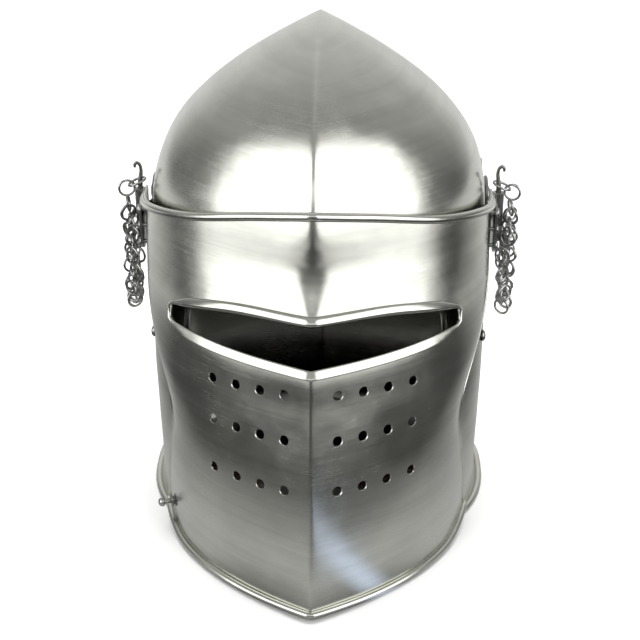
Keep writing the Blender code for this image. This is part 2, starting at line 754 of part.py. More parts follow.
def make_straps():
    """Both halves of the chin strap, buckled across the neck opening."""
    left = [(103, 130), (103.5, 112), (103.2, 80), (101.6, 55), (95, 36)]
    left += [(84, 24), (62, 17), (40, 14.4), (22.4, 13.2)]
    right = [(-103, 130), (-103.5, 112), (-103.2, 80), (-101.6, 55), (-95, 36)]
    right += [(-84, 23), (-62, 14), (-35, 10), (0, 7.8), (30, 8.4), (62, 11.2)]
    finished = []
    for name, route in (("left_chin_strap", left), ("right_chin_strap", right)):
        route = [(x * MM, z * MM) for x, z in route]
        if name.startswith("right"):
            route.reverse()
        finished.append(strap(name, route, STRAP_W, STRAP_T))
    for band, (name, place, direction) in zip(finished, strap_rivet_places()):
        cut(band, band.name + "_hole", rod_mesh(RIVET_HOLE, 24 * MM, 10), facing(place, direction))
        frame = facing(place + direction * GAP, direction)
        turned(name, domed(4.0 * MM, 2.2 * MM, 1.5 * MM, 11.4 * MM, 1.5 * MM), RIVET_STEEL, frame)
        inner = abs(place.x) - 10.8 * MM
        inside = facing((math.copysign(inner, place.x), place.y, place.z), direction)
        washer(name.replace("rivet", "burr"), DARK_STEEL, inside, 4.4 * MM, RIVET_HOLE, 0.9 * MM, 10)


def make_buckle():
    """A square frame with its prong, and the keeper that holds the free end."""
    high = 12.6 * MM
    frame = [(-6, -14.5), (20, -14.5), (20, 14.5), (-6, 14.5)]
    loop = [(x * MM, STRAP_Y + y * MM, high) for x, y in frame]
    add("buckle_frame", tube_mesh(loop, 1.4 * MM, closed=True, sides=1), DARK_STEEL)
    prong = [(x * MM, STRAP_Y, high + rise * MM) for x, rise in ((17.5, 0), (10, 1.2), (-7, 3.0))]
    add("buckle_prong", tube_mesh(prong, 0.9 * MM, sides=1), DARK_STEEL)
    outline = [(-12.4, 3.9), (12.4, 3.9), (12.4, 17.4), (-12.4, 17.4)]
    outer = [(STRAP_Y + y * MM, z * MM) for y, z in outline]
    inner = [(STRAP_Y + y * 0.91 * MM, (10.65 + (z - 10.65) * 0.80) * MM) for y, z in outline]
    keeper = add("strap_keeper", plate_mesh(outer, 8 * MM), HIDE, upright(34 * MM))
    cut(keeper, "keeper_hole", plate_mesh(inner, 30 * MM), upright(34 * MM))


def main():
    make_skull()
    make_visor()
    make_peg()
    for side, sign in (("left", 1), ("right", -1)):
        make_leaf(side, sign)
        make_arm(side, sign)
        make_pivot(side, sign)
        make_leaf_rivets(side, sign)
        make_pin(side, sign)
        make_tassel(side, sign)
    make_band()
    make_tongues()
    make_lace()
    make_liner_rivets()
    make_straps()
    make_buckle()


main()
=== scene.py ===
"""The looks of the knight's helmet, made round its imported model. +Z is up and the visor faces -Y.

The skull and the visor are made again here, finely, from the same level sections as the model: each
section bulges to its widest depth by a power law and meets in a crease on the middle plane. Everything
else is made finely at the places that the model's nodes have. Shapes are reckoned in millimetres, and
piece() turns them to metres.
"""

import random
from math import atan2, cos, exp, hypot, pi, radians, sin, sqrt, tan

import bmesh
import bpy
import numpy as np
from mathutils import Matrix, Vector, noise
from mathutils.bvhtree import BVHTree


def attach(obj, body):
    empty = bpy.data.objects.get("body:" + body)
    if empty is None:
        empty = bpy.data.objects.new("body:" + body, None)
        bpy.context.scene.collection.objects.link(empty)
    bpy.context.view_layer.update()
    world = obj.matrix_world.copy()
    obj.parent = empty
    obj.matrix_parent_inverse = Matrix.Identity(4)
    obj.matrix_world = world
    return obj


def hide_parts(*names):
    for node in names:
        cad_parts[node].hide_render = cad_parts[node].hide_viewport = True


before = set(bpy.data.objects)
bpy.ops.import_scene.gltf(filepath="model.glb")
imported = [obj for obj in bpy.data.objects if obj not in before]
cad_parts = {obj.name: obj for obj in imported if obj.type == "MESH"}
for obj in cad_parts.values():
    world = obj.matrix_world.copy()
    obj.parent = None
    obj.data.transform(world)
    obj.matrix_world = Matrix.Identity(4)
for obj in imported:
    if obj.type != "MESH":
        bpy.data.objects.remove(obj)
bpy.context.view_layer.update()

MM = 0.001
UP = Vector((0, 0, 1))

# The skull.
SKULL_SHEET = 1.5
BROW_Z = 208
CROWN_RISE = 121.5
CROWN_POWER = 2.35
SKULL_HALF_WIDTH = 110
SKULL_FRONT = -88
SKULL_BACK = 143
SKULL_WIDEST = 52
APEX_Y = 56
RIM_BEAD = 2.7
SKULL_DENTS = 0.28
SKULL_COLUMNS = 101
SKULL_ROWS = 66
CROWN_ROWS = 56

# The visor.
VISOR_SHEET = 1.2
TOP_BEAD = 2.7
FOOT_BEAD = 2.4
SIDE_BEAD = 1.1
FLUSH_BEAD = 0.7
HINGE_FOOT = 172
SLOT_END = 89
BREATH_HOLE = 3.0
VISOR_DENTS = 0.26
VISOR_COLUMNS = 91
VISOR_ROWS = 96

# Both plates: how wide the crease on the middle plane is, and the lengths of their hammered waves.
CREASE = 1.4
LONG_WAVE = 38
SHORT_WAVE = 15

# Hinges, pivots and pins.
PIVOT_Y = 60
PIVOT_Z = 205
ARM_X = 111.6
ARM_SHEET = 1.8
ARM_EYE = 12.8
ARM_SLACK = 0.08
PIN_X = 118.3
PIN_Y = 33
PIN_R = 1.7
KNUCKLE_R = 3.9
LEAF_X = 114.3
LEAF_SHEET = 1.6
LEAF_RIVET_Y = 11
LEAF_RIVET_ZS = (189, 200.5, 212)
KNUCKLES = (183.5, 194.1, 194.5, 205.9, 206.3, 217.5)
PIN_HOOK = [(0, 180.6), (0, 190), (0, 202), (0, 220), (-0.6, 226), (-1.1, 230), (-0.6, 233.5), (1.2, 235.2),
            (2.7, 234.2), (2.9, 232)]

# The peg: its place on the visor as (x, z), and how far it stands out when it is drawn.
PEG_PLACE = (-96, 22)
PEG_OUT = 6.2

# The tassels of mail.
RING_R = 5.3
RING_WIRE = 0.83
RING_STEPS = 26
TASSEL_X = 127.4
TASSEL_TOP = 217.4
TASSEL_FOOT = 131.6
TASSEL_COLUMNS = (-10.5, -3.2, 3.2, 10.5)
ROW_PITCH = 12.6

# The lining and the chin strap.
LEATHER = 2.0
BAND_AT = SKULL_SHEET + 2.4
TONGUES = 8
TONGUE_TIP = 0.86
STRAP_Y = 13
STRAP_W = 20
STRAP_T = 2.4
STRAP_RIVET_Z = 121
LEFT_ROUTE = [(103, 130), (103.5, 112), (103.2, 80), (101.6, 55), (95, 36), (84, 24), (62, 17), (40, 14.4),
              (22.4, 13.2)]
RIGHT_ROUTE = [(-103, 130), (-103.5, 112), (-103.2, 80), (-101.6, 55), (-95, 36), (-84, 23), (-62, 14),
               (-35, 10), (0, 7.8), (30, 8.4), (62, 11.2)]
BUCKLE_Z = 12.6


# Curves and sections, as in the model.


def smooth(xs, ys):
    """A cubic through the points, its slopes taken from the neighbours."""
    xs, ys = np.array(xs, float), np.array(ys, float)
    slopes = np.gradient(ys, xs)

    def value(x):
        x = min(max(x, xs[0]), xs[-1])
        i = min(max(int(np.searchsorted(xs, x)) - 1, 0), len(xs) - 2)
        h = xs[i + 1] - xs[i]
        t = (x - xs[i]) / h
        rise = (3 - 2 * t) * t * t
        bend = t * (1 - t) * ((1 - t) * slopes[i] - t * slopes[i + 1])
        return float(ys[i] * (1 - rise) + ys[i + 1] * rise + h * bend)

    return value


def mix(a, b, t):
    return a + (b - a) * t


def ease(t):
    t = min(max(t, 0), 1)
    return t * t * (3 - 2 * t)


skull_half_width = smooth([0, 10, 25, 60, 110, 160, 208], [115.3, 112.8, 112, 112.8, 114, 112.6, 110])
skull_back = smooth([0, 10, 25, 55, 90, 140, 208], [136, 130, 125.5, 123.5, 126.5, 135.5, 143])
skull_widest = smooth([0, 208], [36, 52])
skull_power = smooth([0, 60, 127, 208], [2.6, 2.75, 2.65, 2.95])

visor_front = smooth(
    [0, 40, 90, 140, 165, 186, 215, 247], [-141, -140, -134, -123, -117, -106, -95, -84.5]
)
visor_half_width = smooth(
    [0, 30, 60, 88, 104, 118, 134, 150, 168, 186, 215, 247],
    [104.8, 103.8, 100.6, 97.6, 99.8, 104.0, 108.6, 111.4, 113.0, 113.4, 113.4, 113],
)
visor_power = smooth(
    [0, 30, 60, 88, 104, 118, 134, 165, 186, 247], [2.85, 3.0, 3.4, 3.8, 3.7, 3.5, 3.3, 3.05, 2.9, 2.9]
)
visor_widest = smooth([0, 250], [23, 43])
visor_rear = smooth(
    [0, 30, 60, 88, 104, 118, 134, 150, 168, 190, 214, 240],
    [-25, -26, -31, -34, -30, -20, -8, 2, 10, 20, 25, 25],
)
visor_foot = smooth([0, 0.3, 0.6, 0.78, 0.88, 1], [5, 3.5, 3.3, 4.8, 8.6, 11])
visor_top = smooth([0, 0.25, 0.5, 0.7, 0.85, 1], [248.5, 241.8, 232.8, 226.6, 222, 222])
slot_top = smooth([0, 50, 89], [187, 184, 175])
slot_foot = smooth([0, 50, 89], [165, 165.3, 166.2])


def skull_plan(z):
    """Half width, front, back, widest depth, and the powers of the front and back, at height z."""
    if z <= BROW_Z:
        drop = (BROW_Z - z) / BROW_Z
        front = SKULL_FRONT - 8 * drop
        return skull_half_width(z), front, skull_back(z), skull_widest(z), skull_power(z), 2.6 + 0.2 * drop
    climb = min((z - BROW_Z) / CROWN_RISE, 1)
    level = 1 - climb * climb
    reach = sqrt(level)
    widest = mix(SKULL_WIDEST, APEX_Y, climb)
    front = widest - (SKULL_WIDEST - SKULL_FRONT) * reach
    back = widest + (SKULL_BACK - SKULL_WIDEST) * reach
    half = SKULL_HALF_WIDTH * (1 - climb**CROWN_POWER)
    return half, front, back, widest, 2.2 + 0.75 * level, 2.0 + 0.6 * level


def skull_half(z, count, inset=0.0):
    """The section's +X half at height z, from the front crease to the back ridge."""
    half, front, back, widest, front_power, back_power = skull_plan(z)
    half, front, back = half - inset, front + inset, back - inset
    shares = np.sin(np.linspace(-pi / 2, pi / 2, 161))
    power = np.where(shares < 0, front_power, back_power)
    reach = np.where(shares < 0, widest - front, back - widest)
    points = np.stack([half * (1 - np.abs(shares) ** power), widest + reach * shares], axis=1)
    return resampled(points, np.linspace(0, 1, count))


def skull_ring(z, count, inset=0.0):
    """The whole section, anticlockwise from above, starting at the front crease."""
    right = skull_half(z, count, inset)
    left = right[-2:0:-1] * [-1, 1]
    return [Vector((x, y, z)) for x, y in np.concatenate([right, left])]


def skull_at(x, z):
    """The point of the skull's front at sideways place x and height z."""
    half, front, _, widest, power, _ = skull_plan(z)
    share = (1 - min(abs(x) / half, 1)) ** (1 / power)
    return Vector((x, widest - (widest - front) * share, z))


def visor_at(x, z):
    """The point of the visor at sideways place x and height z."""
    widest, front = visor_widest(z), visor_front(z)
    share = (1 - min(abs(x) / visor_half_width(z), 1)) ** (1 / visor_power(z))
    return Vector((x, widest - (widest - front) * share, z))


def outward(surface, x, z):
    """The outward normal of a front surface that gives its point from x and z."""
    step = 0.2
    side = surface(x + step, z) - surface(x - step, z)
    rise = surface(x, z + step) - surface(x, z - step)
    return side.cross(rise).normalized()


def visor_half(z):
    """The visor's +X half at height z, as a fine polyline from the keel to the rear edge."""
    widest, front, rear = visor_widest(z), visor_front(z), visor_rear(z)
    ys = np.linspace(front, rear, 241)
    shares = np.clip((widest - ys) / (widest - front), 0, 1)
    return np.stack([visor_half_width(z) * (1 - shares ** visor_power(z)), ys], axis=1)


def face_outline():
    """The face opening's edge on the +X side, from below the rim up to its middle, as (x, z)."""
    steps = range(10)
    across = smooth(steps, [93, 83, 78, 79, 82, 83, 80, 68, 38, 0])
    height = smooth(steps, [-8, 2.4, 14, 45, 85, 130, 168, 190, 202, 204])
    return [(across(t), height(t)) for t in np.linspace(0, 9, 91)]


# Mesh helpers.


def piece(name, part, finish, body, node=None, sharp=50):
    """A mesh object with its finish that rides on a body; where a CAD node is given, it stands for that node
    and hides it.
    """
    mesh = plain_mesh(name, part, MM)
    mesh.validate()
    mesh.materials.append(finish)
    mesh.shade_smooth()
    mesh.set_sharp_from_angle(angle=radians(sharp))
    obj = linked(name, mesh)
    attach(obj, body)
    if node:
        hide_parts(node)
    return obj


def around(steps):
    """The angles of evenly spaced steps of one turn."""
    return [2 * pi * k / steps for k in range(steps)]


def opposite(point):
    """The same point on the helmet's other side."""
    return Vector((-point.x, point.y, point.z))


def plain_mesh(name, part, scale=1.0):
    """A mesh of a part, which is a pair: its vertices and its faces."""
    verts, faces = part
    mesh = bpy.data.meshes.new(name)
    mesh.from_pydata([tuple(v * scale) for v in verts], [], faces)
    mesh.update()
    return mesh


def normals_of(part):
    """The part's smooth normal at each vertex."""
    mesh = plain_mesh("normals", part)
    normals = [v.normal.copy() for v in mesh.vertices]
    bpy.data.meshes.remove(mesh)
    return normals


def linked(name, data):
    """A new object in the scene."""
    obj = bpy.data.objects.new(name, data)
    bpy.context.scene.collection.objects.link(obj)
    return obj


def join_parts(parts):
    """Several (verts, faces) as one."""
    verts, faces = [], []
    for some, more in parts:
        base = len(verts)
        verts += list(some)
        faces += [tuple(i + base for i in face) for face in more]
    return verts, faces


def moved(part, matrix):
    """The part moved by a matrix, its faces turned if the matrix mirrors it."""
    verts, faces = part
    flip = matrix.to_3x3().determinant() < 0
    faces = [tuple(reversed(face)) for face in faces] if flip else faces
    return [matrix @ Vector(v) for v in verts], faces


def lofted(rows, closed_round=False, closed_along=False):
    """Quads between rows of equal length; the rows run anticlockwise seen from outside, upwards."""
    width, count = len(rows[0]), len(rows)
    verts = [p for row in rows for p in row]
    faces = []
    for r in range(count if closed_along else count - 1):
        n = (r + 1) % count
        for i in range(width if closed_round else width - 1):
            j = (i + 1) % width
            faces.append((r * width + i, r * width + j, n * width + j, n * width + i))
    return verts, faces


def capped(part, width):
    """The lofted part with its first and last rows of that width closed."""
    verts, faces = part
    last = len(verts) - width
    return verts, faces + [tuple(reversed(range(width))), tuple(range(last, len(verts)))]


def swept(points, radii, sides=14, closed=False):
    """A round bar along the points, with one radius or a radius at each."""
    points = [Vector(p) for p in points]
    count = len(points)
    radii = list(radii) if hasattr(radii, "__len__") else [radii] * count
    rows = []
    normal = None
    for i, point in enumerate(points):
        ahead = points[(i + 1) % count] if closed or i < count - 1 else point
        behind = points[i - 1] if closed or i > 0 else point
        along = (ahead - behind).normalized()
        if normal is None:
            normal = along.orthogonal().normalized()
        normal = (normal - along * normal.dot(along)).normalized()
        other = along.cross(normal)
        rows.append([point + (normal * cos(a) + other * sin(a)) * radii[i] for a in around(sides)])
    verts, faces = lofted(rows, closed_round=True)
    if not closed:
        return capped((verts, faces), sides)
    first, last = rows[0][0] - points[0], (count - 1) * sides
    shift = min(range(sides), key=lambda k: (rows[-1][k] - points[-1] - first).length)
    for k in range(sides):
        n = (k + 1) % sides
        faces.append((last + k, last + n, (n - shift) % sides, (k - shift) % sides))
    return verts, faces


def lathed(profile, matrix, steps=32):
    """A turned solid: the profile of (radius, height) runs from the top down; ends on the axis close."""
    verts, faces, rings = [], [], []
    for radius, height in profile:
        start = len(verts)
        if radius == 0:
            verts.append(Vector((0, 0, height)))
        else:
            verts += [Vector((radius * cos(a), radius * sin(a), height)) for a in around(steps)]
        rings.append(list(range(start, len(verts))))
    for high, low in zip(rings, rings[1:]):
        for k in range(steps):
            n = (k + 1) % steps
            face = (high[k % len(high)], low[k % len(low)], low[n % len(low)], high[n % len(high)])
            faces.append(tuple(dict.fromkeys(face)))
    return moved((verts, faces), matrix)


def tube_ring(outer, inner, half, matrix, steps=32, chamfer=0.35):
    """A hollow cylinder with chamfered rims, from half its height below its place to as much above."""
    edge = outer - chamfer
    profile = [(inner, half), (edge, half), (outer, half - chamfer)]
    profile += [(outer, chamfer - half), (edge, -half), (inner, -half), (inner, half)]
    return lathed(profile, matrix, steps)


def facing(place, direction):
    """A matrix that puts local Z along the direction, at the place."""
    turn = Vector(direction).to_track_quat("Z", "Y").to_matrix().to_4x4()
    return Matrix.Translation(place) @ turn


def drill(radius, depth, matrix):
    """A plain round cutter, as deep on either side of its place."""
    return lathed([(0, depth), (radius, depth), (radius, -depth), (0, -depth)], matrix, 24)


def slab(outline, matrix, thickness, bevel):
    """A flat plate of an outline in XY, centred on Z = 0, its edges rounded."""
    work = bmesh.new()
    face = work.faces.new([work.verts.new((x, y, -thickness / 2)) for x, y in outline])
    raised = bmesh.ops.extrude_face_region(work, geom=[face])
    tops = [v for v in raised["geom"] if isinstance(v, bmesh.types.BMVert)]
    bmesh.ops.translate(work, verts=tops, vec=(0, 0, thickness))
    bmesh.ops.recalc_face_normals(work, faces=work.faces)
    if bevel:
        bmesh.ops.bevel(work, geom=work.edges[:], offset=bevel, segments=2, affect="EDGES", profile=0.6)
    work.verts.index_update()
    part = [v.co.copy() for v in work.verts], [tuple(v.index for v in f.verts) for f in work.faces]
    work.free()
    return moved(part, matrix)


def rounded(outline, radius, steps=4):
    """The closed outline with each corner cut to a short arc."""
    made = []
    count = len(outline)
    for i, corner in enumerate(outline):
        corner = Vector(corner)
        before, after = Vector(outline[i - 1]) - corner, Vector(outline[(i + 1) % count]) - corner
        cut = min(radius, before.length * 0.45, after.length * 0.45)
        start, end = corner + before.normalized() * cut, corner + after.normalized() * cut
        for t in np.linspace(0, 1, steps):
            made.append(tuple(start.lerp(corner, t).lerp(corner.lerp(end, t), t)))
    return made


def beaten(part, amount, seed):
    """The sheet moved a little along its normals by a slow noise, as hammering leaves a plate uneven."""
    shift = Vector((seed, seed * 0.7, -seed))
    made = []
    for point, normal in zip(part[0], normals_of(part)):
        slow = noise.noise(point / LONG_WAVE + shift)
        fast = noise.noise(point / SHORT_WAVE - shift)
        made.append(point + normal * amount * (slow + 0.3 * fast))
    return made, part[1]


def solid_sheet(part, thickness):
    """Closes a sheet, whose inner side is the outer one moved in along its normals; gives those too."""
    outer, faces = part
    normals = normals_of(part)
    rims = {}
    for face in faces:
        for a, b in zip(face, face[1:] + face[:1]):
            if rims.pop((b, a), None) is None:
                rims[(a, b)] = True
    count = len(outer)
    verts = outer + [p - n * thickness for p, n in zip(outer, normals)]
    every = faces + [tuple(i + count for i in reversed(face)) for face in faces]
    every += [(b, a, a + count, b + count) for a, b in rims]
    return (verts, every), normals


def cut_shell(name, part, thickness, cutters, body, node):
    """The sheet with the cutters taken out of it, shaded with the uncut sheet's own smooth normals."""
    sheet, normals = solid_sheet(part, thickness)
    obj = piece(name, sheet, STEEL, body, node)
    plain = obj.data
    helpers = [linked("cutter", plain_mesh("cutter", cutter, MM)) for cutter in cutters]
    for helper in helpers:
        step = obj.modifiers.new("cut", "BOOLEAN")
        step.operation = "DIFFERENCE"
        step.solver = "EXACT"
        step.object = helper
    bpy.context.view_layer.update()
    evaluated = obj.evaluated_get(bpy.context.evaluated_depsgraph_get())
    made = bpy.data.meshes.new_from_object(evaluated)
    obj.modifiers.clear()
    obj.data = made
    for mesh in [plain] + [helper.data for helper in helpers]:
        bpy.data.meshes.remove(mesh)
    made.name = name
    made.materials.clear()
    made.materials.append(STEEL)
    borrow_normals(made, part, normals)


def borrow_normals(mesh, part, normals):
    """Shades the sheet's two sides with the normals of the uncut sheet, and its cut edges flat."""
    outer, faces = part
    tree = BVHTree.FromPolygons([tuple(v) for v in outer], faces)
    at = []
    for vert in mesh.vertices:
        place, _, index, _ = tree.find_nearest(vert.co / MM)
        total = Vector()
        for i in faces[index]:
            total += normals[i] / max((outer[i] - place).length, 0.001) ** 2
        at.append(total.normalized())
    mesh.shade_smooth()
    loops = [None] * len(mesh.loops)
    for polygon in mesh.polygons:
        for loop in polygon.loop_indices:
            normal = at[mesh.loops[loop].vertex_index]
            lean = normal.dot(polygon.normal)
            loops[loop] = normal if lean > 0.7 else -normal if lean < -0.7 else polygon.normal.copy()
    mesh.normals_split_custom_set(loops)


def crowded(count, ends):
    """Shares from 0 to 1 that crowd towards the start, and towards the end too if ends is true."""
    even = np.linspace(0, 1, count)
    eased = (1 - np.cos(pi * even)) / 2 if ends else 1 - np.cos(pi * even / 2)
    return 0.12 * even + 0.88 * eased


def softened(x, y, inwards, width, slope):
    """Rounds a crease on the middle plane: the point near it moves inwards."""
    return y + inwards * (hypot(x, width) - abs(x)) / slope


def resampled(points, shares):
    """The polyline's points at these shares of its length."""
    steps = np.linalg.norm(np.diff(points, axis=0), axis=1)
    along = np.concatenate([[0], np.cumsum(steps)]) / steps.sum()
    return np.stack([np.interp(shares, along, points[:, k]) for k in range(2)], axis=1)


# The skull.


def fine_skull_ring(z):
    """The skull's section with softened creases, crowded towards the front and back."""
    half, front, back, widest, front_power, back_power = skull_plan(z)
    width = min(CREASE, half * 0.12)
    points = resampled(skull_half(z, 401), crowded(SKULL_COLUMNS, True))
    front_slope = front_power * half / (widest - front)
    back_slope = back_power * half / (back - widest)
    made = []
    for x, y in points:
        inwards, slope = (1, front_slope) if y < widest else (-1, back_slope)
        made.append((x, softened(x, y, inwards, width, slope)))
    left = [(-x, y) for x, y in made[-2:0:-1]]
    return [Vector((x, y, z)) for x, y in made + left]


def extruded(outline, low, high):
    """A plate cutter: the outline in (x, z) run from y = low to y = high."""
    rows = [[Vector((x, y, z)) for x, z in outline] for y in (high, low)]
    return capped(lofted(rows, closed_round=True), len(outline))


def peg_frame():
    """The place on the visor where the peg goes through, and its inward direction."""
    direction = outward(visor_at, *PEG_PLACE)
    return visor_at(*PEG_PLACE), Vector((-direction.x, -direction.y, 0)).normalized()


def skull_surface():
    rise = CROWN_RISE - 0.25
    heights = list(np.linspace(1, BROW_Z, SKULL_ROWS))
    heights += [BROW_Z + rise * sin(radians(a)) for a in np.linspace(1.6, 88.8, CROWN_ROWS)]
    verts, faces = lofted([fine_skull_ring(z) for z in heights], closed_round=True)
    tip = len(verts)
    width = tip // len(heights)
    base = tip - width
    verts.append(Vector((0, APEX_Y, BROW_Z + rise)))
    faces += [(base + i, base + (i + 1) % width, tip) for i in range(width)]
    return beaten((verts, faces), SKULL_DENTS, seed=3.1)


def make_skull():
    edge = face_outline()
    opening = extruded(edge + [(-x, z) for x, z in edge[-2::-1]], low=-260, high=20)
    place, inward = peg_frame()
    hole = drill(2.5, 8, facing(place + inward * 13, inward))
    cut_shell("skull_plate", skull_surface(), SKULL_SHEET, [opening, hole], "helmet", "skull")
    verts, faces = swept(skull_roll_line(), RIM_BEAD * 0.98, sides=18, closed=True)
    verts = [Vector((v.x, v.y, max(v.z, 0))) for v in verts]
    piece("skull_edge_roll", (verts, faces), STEEL_ROLL, "helmet")


def skull_roll_line():
    """Round the rim, then up one side of the face opening and down the other."""
    climb = [skull_at(x, z) + outward(skull_at, x, z) * 0.4 for x, z in face_outline() if z > 4]
    rim = [p for p in skull_ring(2, 121) if p.y > climb[0].y + 7]
    rim.sort(key=lambda p: atan2(p.x, p.y - SKULL_WIDEST))
    rim = [p + Vector((p.x, p.y - SKULL_WIDEST, 0)).normalized() * 1.2 for p in rim]
    return climb + [opposite(p) for p in climb[-2::-1]] + rim


# The visor.


def visor_place(share, climb):
    """A point of the visor's +X half: share 0 is the keel and 1 the rear edge; climb 0 is the foot."""
    z = mix(visor_foot(share), visor_top(share), climb)
    x, y = resampled(visor_half(z), [share])[0]
    slope = visor_power(z) * visor_half_width(z) / (visor_widest(z) - visor_front(z))
    return Vector((x, softened(x, y, 1, keel_width(z), slope), z))


def keel_width(z):
    """The keel is crisp below the eye slot and broad across the brow."""
    return CREASE + 9.5 * exp(-(((z - 214) / 17) ** 2))


def visor_surface():
    shares = crowded(VISOR_COLUMNS, False)
    half = [[visor_place(share, climb) for share in shares] for climb in np.linspace(0, 1, VISOR_ROWS)]
    rows = [[opposite(p) for p in row[:0:-1]] + row for row in half]
    return beaten(lofted(rows), VISOR_DENTS, seed=7.7)


def slot_loop(spare=0.0):
    """The eye slot's edge as (x, z), anticlockwise, grown by spare, with rounded corners."""
    end, turn = SLOT_END + spare, 1.4
    xs = [x * end for x in np.linspace(0, 1, 24)]
    foot = [(x, slot_foot(min(x, SLOT_END)) - spare) for x in xs]
    top = [(x, slot_top(min(x, SLOT_END)) + spare) for x in xs]
    low, high = foot[-1][1], top[-1][1]
    foot[-1] = (end - turn, low + 0.1 * turn)
    top[-1] = (end - turn, high)
    right = foot + [(end, low + turn), (end, high - turn)] + top[::-1]
    return right + [(-x, z) for x, z in right[-2:0:-1]]


def breath_holes():
    """Four holes a row on each side, in three rows that fall outwards, as (x, z)."""
    places = []
    for inner, outer in ((147, 143), (119.5, 117), (88, 85)):
        for k in range(4):
            x, z = 16 + 15 * k, mix(inner, outer, k / 3)
            places += [(x, z), (-x, z)]
    return places


def hole_cutter(x, z):
    """A drill with a small countersink, for a breath hole."""
    rim, mouth = BREATH_HOLE + 0.715, BREATH_HOLE + 1.65
    profile = [(0, 6), (mouth, 6), (rim, 0.5), (BREATH_HOLE, -0.5), (BREATH_HOLE, -7), (0, -7)]
    return lathed(profile, facing(visor_at(x, z), outward(visor_at, x, z)), 28)


def make_visor():
    holes = [hole_cutter(x, z) for x, z in breath_holes()]
    holes.append(drill(3.1, 9, facing(*peg_frame())))
    cutters = [extruded(slot_loop(spare=0.8), low=-260, high=0), join_parts(holes)]
    cut_shell("visor_plate", visor_surface(), VISOR_SHEET, cutters, "visor", "visor")
    edge_roll = swept(*visor_roll_line(), sides=16, closed=True)
    piece("visor_edge_roll", edge_roll, STEEL_ROLL, "visor")
    piece("eye_slot_lip", slot_lip(), STEEL_ROLL, "visor", sharp=60)


def visor_roll_line():
    """The visor's edge and a roll radius at each point, once round from the foot of the keel."""
    even = np.linspace(0, 1, 60)
    half = [(visor_place(share, 0), FOOT_BEAD) for share in even]
    for climb in even[1:-1]:
        place = visor_place(1, climb)
        half.append((place, mix(SIDE_BEAD, FLUSH_BEAD, ease((place.z - HINGE_FOOT) / 6 + 1))))
    for share in np.linspace(1, 0, 60):
        half.append((visor_place(share, 1), mix(FLUSH_BEAD, TOP_BEAD, ease((1 - share) / 0.16))))
    line, radii = [], []
    for point, radius in half + [(opposite(p), radius) for p, radius in half[-2:0:-1]]:
        away = Vector((point.x, point.y - PIVOT_Y, 0)).normalized()
        line.append(point + away * (radius - VISOR_SHEET))
        radii.append(radius * (1 + 0.03 * noise.noise(point / 22)))
    even = [sum(radii[i - 2:i + 3]) / 5 for i in range(2, len(radii) - 2)]
    return line, radii[:2] + even + radii[-2:]


# Sections of the eye slot's lip, as (distance from the slot's edge, height above the sheet).
UPPER_SECTION = [(0.2, -1.2), (0.0, 0.0), (0.3, 1.5), (1.0, 2.6), (2.0, 3.05), (3.4, 2.75), (4.9, 2.25),
                 (6.0, 1.7), (6.5, 0.7), (6.6, -0.4), (4.8, -1.3), (2.4, -1.4)]
LOWER_SECTION = [(0.1, -1.4), (0.0, -0.1), (0.25, 0.4), (1.7, 0.95), (3.3, 1.55), (4.8, 2.1), (5.5, 2.1),
                 (5.9, 1.6), (6.1, 0.7), (6.2, -0.3), (4.6, -1.4), (2.4, -1.4)]
END_SECTION = [(0.1, -1.2), (0.0, 0.0), (0.2, 0.8), (0.7, 1.5), (1.4, 1.8), (2.2, 1.6), (2.7, 1.1),
               (3.0, 0.4), (3.1, -0.3), (2.8, -0.9), (2.2, -1.3), (1.2, -1.4)]


def rounded_section(section):
    """The section with two points for each corner, which rounds it."""
    made = []
    for (a, b), (c, d) in zip(section, section[1:] + section[:1]):
        made += [(mix(a, c, 0.25), mix(b, d, 0.25)), (mix(a, c, 0.75), mix(b, d, 0.75))]
    return made


def slot_lip():
    """The turned lip: a roll over the slot, a flange under it, and thin ends."""
    loop = slot_loop()
    sections = list(zip(*[rounded_section(s) for s in (UPPER_SECTION, LOWER_SECTION, END_SECTION)]))
    rows = []
    for i, (x, z) in enumerate(loop):
        along = (visor_at(*loop[(i + 1) % len(loop)]) - visor_at(*loop[i - 1])).normalized()
        normal = outward(visor_at, x, z)
        away = along.cross(normal).normalized()
        near_end = ease(1 - (SLOT_END - abs(x)) / 14)
        row = []
        for upper, lower, end in sections:
            side = upper if away.z > 0 else lower
            reach, rise = mix(side[0], end[0], near_end), mix(side[1], end[1], near_end)
            row.append(visor_at(x, z) + away * reach + normal * rise)
        rows.append(row)
    return lofted(rows, closed_round=True, closed_along=True)


# The hinges, the pivots and the draw pins, made once for each side.


def knuckle_tube(sign, low, high):
    """A knuckle round the draw pin, between two heights."""
    at = Matrix.Translation((sign * PIN_X, PIN_Y, (low + high) / 2))
    return tube_ring(KNUCKLE_R, PIN_R + 0.35, (high - low) / 2, at)


def upright(x):
    """Turns a plate drawn in (y, z) so that it stands across X at the place x."""
    return Matrix.Translation((x, 0, 0)) @ Matrix(((0, 0, 1, 0), (1, 0, 0, 0), (0, 1, 0, 0), (0, 0, 0, 1)))


